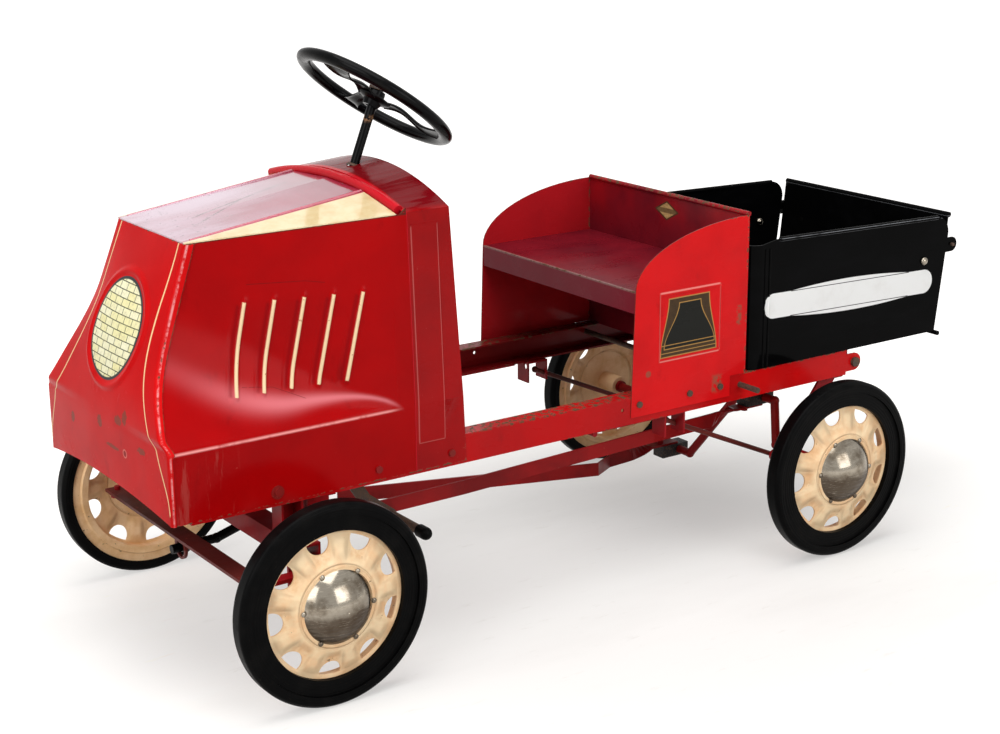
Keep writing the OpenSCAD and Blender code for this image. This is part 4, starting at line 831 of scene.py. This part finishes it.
# Hood top: crimson enamel, paler and lilac towards the far edge and over its front, scratched
# and specked, with a cream facet and a rolled bead along each side.
hood_top_enamel, tree, skin, place = enamel("hood_top_enamel", 0.35, 1.0, 0.07)
x, y, z = split(tree, place)
side = calc(tree, "ABSOLUTE", y)
facet = rise(tree, side, 91.0, 93.0)
bead = band(tree, side, 86.5, 91.5, 0.8)
parts = old_paint(tree, place, (0.30, 0.010, 0.045, 1), (0.24, 0.008, 0.035, 1), 0.5,
                  rough=(0.12, 0.24), dents=0.3)
pale_lilac_mask = most(tree, times(tree, rise(tree, y, 95, -70), rise(tree, x, 640, 800)),
              times(tree, rise(tree, x, 700, 890), 0.8))
chalk = noise(tree, place, 60, 6, 0.6, stretch=(0.4, 1, 1))
paint = mix(tree, times(tree, pale_lilac_mask, rise(tree, chalk, 0.1, 0.6), 0.85), parts[0],
            (0.62, 0.46, 0.56, 1))
paint = mix(tree, bead, paint, (0.42, 0.045, 0.085, 1))
specks = times(tree, rise(tree, noise(tree, place, 4.5, 8, 0.75), 0.58, 0.63),
               rise(tree, noise(tree, place, 70, 3, shift=4), 0.42, 0.56), rise(tree, x, 690, 730))
scratch = most(tree, line_mask(tree, place, (853, 4, 0), (700, -38, 0), 3.5, "z", 2),
               line_mask(tree, place, (868, 40, 0), (770, -20, 0), 2.5, "z", 2))
scratch = times(tree, scratch, rise(
    tree, noise(tree, place, 6, 8, 0.75, stretch=(0.5, 2, 1)), 0.44, 0.5))
paint = over(tree, paint, (0.045, 0.012, 0.016, 1), most(tree, specks, scratch), 0.9)
old_cream = mix(tree, rise(tree, noise(tree, place, 30, 6, 0.6), 0.4, 0.75),
                (0.74, 0.60, 0.35, 1), (0.66, 0.47, 0.23, 1))
paint = mix(tree, facet, paint, old_cream)
finish_paint(tree, skin, place, parts, paint)
dress("hood_top", hood_top_enamel)

# Cowl: the pressed hoop behind the hood, glossy dark red on its arch and brighter down its
# sides, with pale chips along the rear edge where knees have rubbed.
COWL_FRONT_X, COWL_DEPTH, COWL_SHOULDER_Z, CROWN_RISE = 648, 73, 556, 9.5
cowl_enamel, tree, skin, place = enamel("cowl_enamel", 0.03, 0.13, 0.10)
x, y, z = split(tree, place)
upper = times(tree, rise(tree, z, COWL_SHOULDER_Z, COWL_SHOULDER_Z + 7),
              rise(tree, x, COWL_FRONT_X, COWL_FRONT_X - 2))
rear_edge = rise(tree, minus(tree, x, times(tree, minus(tree, 587, z), 0.0422)), 566, 561)
edges = most(tree, times(tree, rear_edge, 0.8), band(tree, z, 230, 234, 2))
parts = old_paint(tree, place, (0.34, 0.002, 0.003, 1), (0.26, 0.002, 0.003, 1), 0.85, edges,
                  rough=(0.14, 0.32))
bead = rise(tree, x, 648.5, 649.5)
# Painted highlight: thin pale lines along the borders of the raised panel down each side
panel = most(tree, times(tree, most(tree, band(tree, x, 606.6, 607.8, 0.5), band(
    tree, x, 644.2, 645.4, 0.5)), band(tree, z, 268, 540, 2)), times(
        tree, band(tree, z, 267.4, 268.6, 0.5), band(tree, x, 607, 645, 1)))
paint = mix(tree, times(tree, upper, 0.9), parts[0], (0.135, 0.002, 0.005, 1))
paint = mix(tree, bead, paint, (0.50, 0.006, 0.014, 1))
paint = over(tree, paint, (0.75, 0.24, 0.22, 1), panel, 0.4)
finish_paint(tree, skin, place, parts, paint)
# The hoop's crown rises towards its rear edge
crowned = bmesh.new()
crowned.from_mesh(nodes["cowl"].data)
bmesh.ops.remove_doubles(crowned, verts=crowned.verts, dist=0.000001)
for point in crowned.verts:
    x, y, z = (1000 * (point.co.x - REAR_AXLE_X), 1000 * point.co.y, 1000 * point.co.z)
    share = min(max((COWL_FRONT_X - x) / COWL_DEPTH, 0), 1) * max(1 - (y / SEAM_Y) ** 2, 0)
    if z > COWL_SHOULDER_Z and x < COWL_FRONT_X:
        point.co.z += CROWN_RISE / 1000 * share
finish_shell("cowl_skin", crowned, "chassis", "cowl", cowl_enamel, 1)

# Seat: a maroon deck and back between two red side panels whose rolled edges are worn brown.
# A gold diamond marks the back, and each side has a black field in a gilt border.
seat_maroon, tree, skin, place = enamel("seat_maroon", 0.05, 0.09, 0.2)
x, y, z = split(tree, place)
lip = rise(tree, x, 301.5, 303)
lip_edge = times(tree, band(tree, z, 408.6, 411.5, 0.8), rise(tree, x, 299, 302))
edges = most(tree, rise(tree, z, 489.5, 492), lip_edge)
parts = old_paint(tree, place, (0.170, 0.007, 0.014, 1), (0.100, 0.005, 0.011, 1), 0.6, edges,
                  rough=(0.24, 0.42), dents=0.4)
warm = times(tree, rise(tree, z, 412, 480), rise(tree, noise(tree, place, 120, 3), 0.3, 0.7))
paint = mix(tree, times(tree, warm, 0.75), parts[0], (0.40, 0.007, 0.011, 1))
paint = over(tree, paint, (0.185, 0.010, 0.022, 1), lip, 0.8)
paint = over(tree, paint, (0.30, 0.20, 0.18, 1), lip_edge, 0.6)
aside = calc(tree, "ABSOLUTE", minus(tree, y, 3.5))
above = calc(tree, "ABSOLUTE", minus(tree, z, 468))
diamond = plus(tree, calc(tree, "DIVIDE", aside, 27), calc(tree, "DIVIDE", above, 14.5))
badge = times(tree, rise(tree, diamond, 1.0, 0.97), rise(tree, x, 106, 107))
inner = times(tree, rise(tree, diamond, 0.84, 0.80), badge)
belt = times(tree, band(tree, z, 464.5, 471.5, 0.4), badge)
paint = mix(tree, badge, paint, (0.060, 0.030, 0.014, 1))
gold = mix(tree, rise(tree, noise(tree, place, 4, 5, 0.7), 0.4, 0.7), (0.50, 0.34, 0.14, 1),
           (0.30, 0.17, 0.065, 1))
paint = mix(tree, inner, paint, gold)
paint = over(tree, paint, (0.075, 0.045, 0.022, 1), belt, 0.75)
finish_paint(tree, skin, place, parts, paint)
dress("seat_deck seat_back", seat_maroon)

seat_side, tree, skin, place = enamel("seat_side_enamel", 0.05, 0.08, 0.08)
x, y, z = split(tree, place)
reach = calc(tree, "ABSOLUTE", y)
outer = rise(tree, reach, 179.0, 179.4)
inner_face = rise(tree, reach, 178.6, 178.2)
parts = old_paint(tree, place, RED, DEEP_RED, 0.65,
                  most(tree, rise(tree, z, 484, 491), band(tree, x, 107, 110, 1)),
                  rough=(0.2, 0.38))
paint = mix(tree, inner_face, parts[0], mix(tree, 0.5, parts[0], (0.16, 0.014, 0.022, 1)))
facing = calc(tree, "ABSOLUTE", face_normal(tree)[1])
rim_worn = times(tree, rise(tree, facing, 0.8, 0.5), rise(
    tree, noise(tree, place, 18, 6, 0.7, shift=6), 0.30, 0.45))
paint = over(tree, paint, (0.11, 0.035, 0.026, 1), rim_worn, 0.8)
patch = times(tree, band(tree, x, 117, 126, 1), band(tree, z, 338, 366, 2), outer, rise(
    tree, noise(tree, place, 9, 6, 0.7, shift=8), 0.42, 0.52))
foot_wear = times(tree, band(tree, x, 150, 168, 3), band(tree, z, 248, 272, 4), outer, rise(
    tree, noise(tree, place, 7, 6, 0.7, shift=3), 0.44, 0.52))
dimple = distance(tree, minus(tree, x, 281), minus(tree, z, 294))
marks = most(tree, patch, foot_wear, times(tree, rise(tree, dimple, 5.5, 3.5), outer))
paint = over(tree, paint, (0.24, 0.085, 0.050, 1), marks, 0.75)


def trapezoid(middle, half_top, half_foot, foot, top, soft=0.5):
    """1 inside an upright trapezoid on the seat's side."""
    spread = rise(tree, z, foot, top, half_foot, half_top)
    inside = minus(tree, spread, calc(tree, "ABSOLUTE", minus(tree, x, middle)))
    return times(tree, rise(tree, inside, -soft, soft), band(tree, z, foot, top, soft), outer)


GILT, PLATE_X, FIELD_X = (0.46, 0.25, 0.07, 1), 211.5, 210
plate = trapezoid(PLATE_X, 36, 50, 312, 393.5)
ground = trapezoid(PLATE_X, 34.6, 48.6, 313.4, 392)
frame_line = trapezoid(FIELD_X, 19.5, 45, 323, 386)
black_field = trapezoid(FIELD_X, 18.3, 43.8, 324.2, 384.8)
lines = times(tree, most(tree, band(tree, z, 317.6, 318.6, 0.3), band(
    tree, z, 328.4, 329.4, 0.3)), ground)
paint = mix(tree, plate, paint, GILT)
paint = mix(tree, ground, paint, mix(tree, noise(tree, place, 6, 5), (0.030, 0.020, 0.012, 1),
                                     (0.085, 0.045, 0.018, 1)))
paint = mix(tree, most(tree, frame_line, lines), paint, GILT)
paint = over(tree, paint, (0.010, 0.010, 0.008, 1), black_field, minus(tree, 1.0, lines))
# Painted highlight: pale lines along the raised frame's top and bottom edges, fainter up its ends
level = most(tree, band(tree, z, 401.2, 403.4, 0.7), band(tree, z, 306.6, 308.6, 0.7))
upright = most(tree, band(tree, x, 156, 157.2, 0.6), band(tree, x, 262, 263.2, 0.6))
pressed = times(tree, most(tree, times(tree, level, band(tree, x, 157, 262, 2)),
                           times(tree, upright, 0.35, band(tree, z, 308, 402, 1))), outer)
paint = over(tree, paint, (0.90, 0.34, 0.30, 1), pressed, 0.75)
finish_paint(tree, skin, place, parts, paint)
dress("left_seat_side right_seat_side", seat_side)

# Dump bed: folded black sheet, glossy, with painted highlights along its rolled rims. Each side
# wall carries a white pill that swells a little in its middle, with a fine line along its edge.
PILL_X, PILL_Z, PILL_SLOPE = -92.9, 351, 0.026
PILL_R, PILL_HALF, SWELL_HALF = 18, 150.4, 118
RIM_FRONT_X, RIM_FRONT_Z, RIM_SLOPE = 49, 448.8, 0.0254
bed_black, tree, skin, place = enamel("bed_black", 0.01, 0.035, 0.03)
x, y, z = split(tree, place)
smear = noise(tree, place, 60, 6, 0.6, stretch=(0.5, 1, 1.6))
tone = mix(tree, rise(tree, smear, 0.4, 0.75), (0.0012, 0.0012, 0.0013, 1),
           (0.0024, 0.0024, 0.0027, 1))
along = minus(tree, x, PILL_X)
middle = plus(tree, times(tree, along, PILL_SLOPE), PILL_Z)
high = calc(tree, "ABSOLUTE", minus(tree, z, middle))
beyond = most(tree, minus(tree, calc(tree, "ABSOLUTE", along), PILL_HALF), 0.0)
pill = distance(tree, beyond, high)
wall = rise(tree, calc(tree, "ABSOLUTE", y), 179.2, 179.6)
share = calc(tree, "DIVIDE", along, SWELL_HALF)
swell = times(tree, minus(tree, 1, times(tree, share, share)), 6)
lens = rise(tree, minus(tree, plus(tree, swell, PILL_R), high), -0.3, 0.3)
lens = times(tree, lens, band(tree, along, -SWELL_HALF, SWELL_HALF, 0.3))
white = times(tree, most(tree, rise(tree, pill, PILL_R + 0.3, PILL_R - 0.3), lens), wall)
edge_line = times(tree, band(tree, high, PILL_R - 0.8, PILL_R + 0.3, 0.25),
                  band(tree, along, -SWELL_HALF, SWELL_HALF, 1), wall)
chalky = mix(tree, rise(tree, noise(tree, place, 40, 6, 0.6), 0.45, 0.8),
             (0.88, 0.88, 0.87, 1), (0.80, 0.79, 0.77, 1))
tone = mix(tree, white, tone, chalky)
tone = mix(tree, edge_line, tone, (0.012, 0.012, 0.012, 1))
nick = rise(tree, noise(tree, place, 5, 7, 0.72, shift=9), 0.74, 0.76)
tone = mix(tree, nick, tone, (0.10, 0.085, 0.07, 1))
# Painted highlights: two thin bright lines along each side wall's rolled rim, one along the
# tailgate
from_front = times(tree, minus(tree, x, RIM_FRONT_X), RIM_SLOPE)
bead_z = minus(tree, z, plus(tree, RIM_FRONT_Z, from_front))
side_glint = times(tree, most(tree, band(tree, bead_z, 1.0, 1.7, 0.3), times(
    tree, band(tree, bead_z, -2.3, -1.7, 0.3), 0.6)), band(tree, x, -266, RIM_FRONT_X, 4),
    rise(tree, calc(tree, "ABSOLUTE", y), 178, 179))
gate_glint = times(tree, band(tree, z, 438.6, 439.6, 0.4), rise(tree, x, -272, -276), 0.8)
glint = times(tree, most(tree, side_glint, gate_glint), rise(
    tree, noise(tree, place, 45, 3, shift=2), 0.3, 0.5))
tone = over(tree, tone, (0.30, 0.31, 0.33, 1), glint, 0.7)
wave = plus(tree, noise(tree, place, 110, 2), times(tree, noise(tree, place, 2.0, 3), 0.02))
cover(tree, skin, tone, rise(tree, smear, 0.35, 0.7, 0.12, 0.26), wave, 0.5, 0.003)
dress("bed_floor bed_left_wall bed_right_wall bed_front_wall tailgate", bed_black)
dress("tailgate_rod", rust)

# Steering: a black enamelled wheel and column, a little rubbed and nicked, with a ring of rust
# round the column just below the wheel. The pressed wheel is turned and swept here.
wheel_black, tree, skin, place = enamel("steering_black", 0.03, 0.07, 0.08)
x, y, z = split(tree, place)
rub = rise(tree, noise(tree, place, 18, 6, 0.65), 0.45, 0.72)
tone = mix(tree, rub, (0.002, 0.002, 0.0022, 1), (0.005, 0.0046, 0.0044, 1))
nick = rise(tree, noise(tree, place, 4.5, 7, 0.72, shift=6), 0.70, 0.72)
tone = mix(tree, nick, tone, (0.10, 0.055, 0.032, 1))
rusted = times(tree, band(tree, z, 643, 650, 2.5), band(tree, x, 592, 612, 1), rise(
    tree, noise(tree, place, 6, 5), 0.46, 0.54))
tone = over(tree, tone, (0.30, 0.16, 0.08, 1), rusted, 0.8)
cover(tree, skin, tone, rise(tree, rub, 0, 1, 0.16, 0.34), noise(tree, place, 3, 4), 0.2, 0.0005)
dress("steering_column", wheel_black)

WHEEL_HUB = Vector((589.4, 0, 672.0))
WHEEL_LEAN = math.radians(36)
RIM_R, RIM_WIDE, RIM_HIGH = 102, 9.9, 7.6
SPOKE_ANGLES = (20, 140, 260)


def on_wheel(radius, angle, height):
    """A point of the steering wheel in millimetres, from its radius, angle and height."""
    ahead, aside = radius * math.cos(angle), radius * math.sin(angle)
    return (WHEEL_HUB.x + ahead * math.cos(WHEEL_LEAN) - height * math.sin(WHEEL_LEAN), aside,
            WHEEL_HUB.z + ahead * math.sin(WHEEL_LEAN) + height * math.cos(WHEEL_LEAN))


def add_turned(shell, profile, steps=96):
    """Adds a closed ring, turned about the wheel's axis from a loop of radii and heights."""
    rings = []
    for i in range(steps):
        angle = 2 * math.pi * i / steps
        rings.append([shell.verts.new(in_metres(on_wheel(r, angle, h))) for r, h in profile])
    for one, two in zip(rings, rings[1:] + rings[:1]):
        for j in range(len(profile)):
            k = (j + 1) % len(profile)
            shell.faces.new((one[j], one[k], two[k], two[j]))


shell = bmesh.new()
loop = [2 * math.pi * i / 28 for i in range(28)]
add_turned(shell, [(RIM_R + RIM_WIDE * math.cos(a), RIM_HIGH * math.sin(a)) for a in loop])
add_turned(shell, [(5.9, -13), (10, -13), (12.5, -6), (22, -3.2), (23, -1.5), (22, 0.2),
                   (12, 2.5), (10.5, 9.6), (5.9, 9.6)], 48)
for spoke in SPOKE_ANGLES:
    top, foot = [], []
    for i in range(25):
        share = i / 24
        radius = blend(15, RIM_R - 6, share)
        half = 9 + 12 * ease(share, 0.45, 1) ** 1.5 + 5 * ease(share, 0.4, 0)
        height = -1.6 + 4.2 * math.sin(2 * math.pi * share) * (1 - 0.3 * share)
        row = []
        for j in range(9):
            across = half * (j / 4 - 1)
            angle = math.radians(spoke) + math.atan2(across, radius)
            # Both edges are turned down a little
            row.append((math.hypot(radius, across), angle, height - 2.2 * (j / 4 - 1) ** 4))
        top.append([on_wheel(r, a, h + 1.2) for r, a, h in row])
        foot.append([on_wheel(r, a, h - 1.2) for r, a, h in row])
    add_sheet(shell, top, foot)
finish_shell("steering_wheel_pressed", shell, "steering", "steering_wheel", wheel_black)
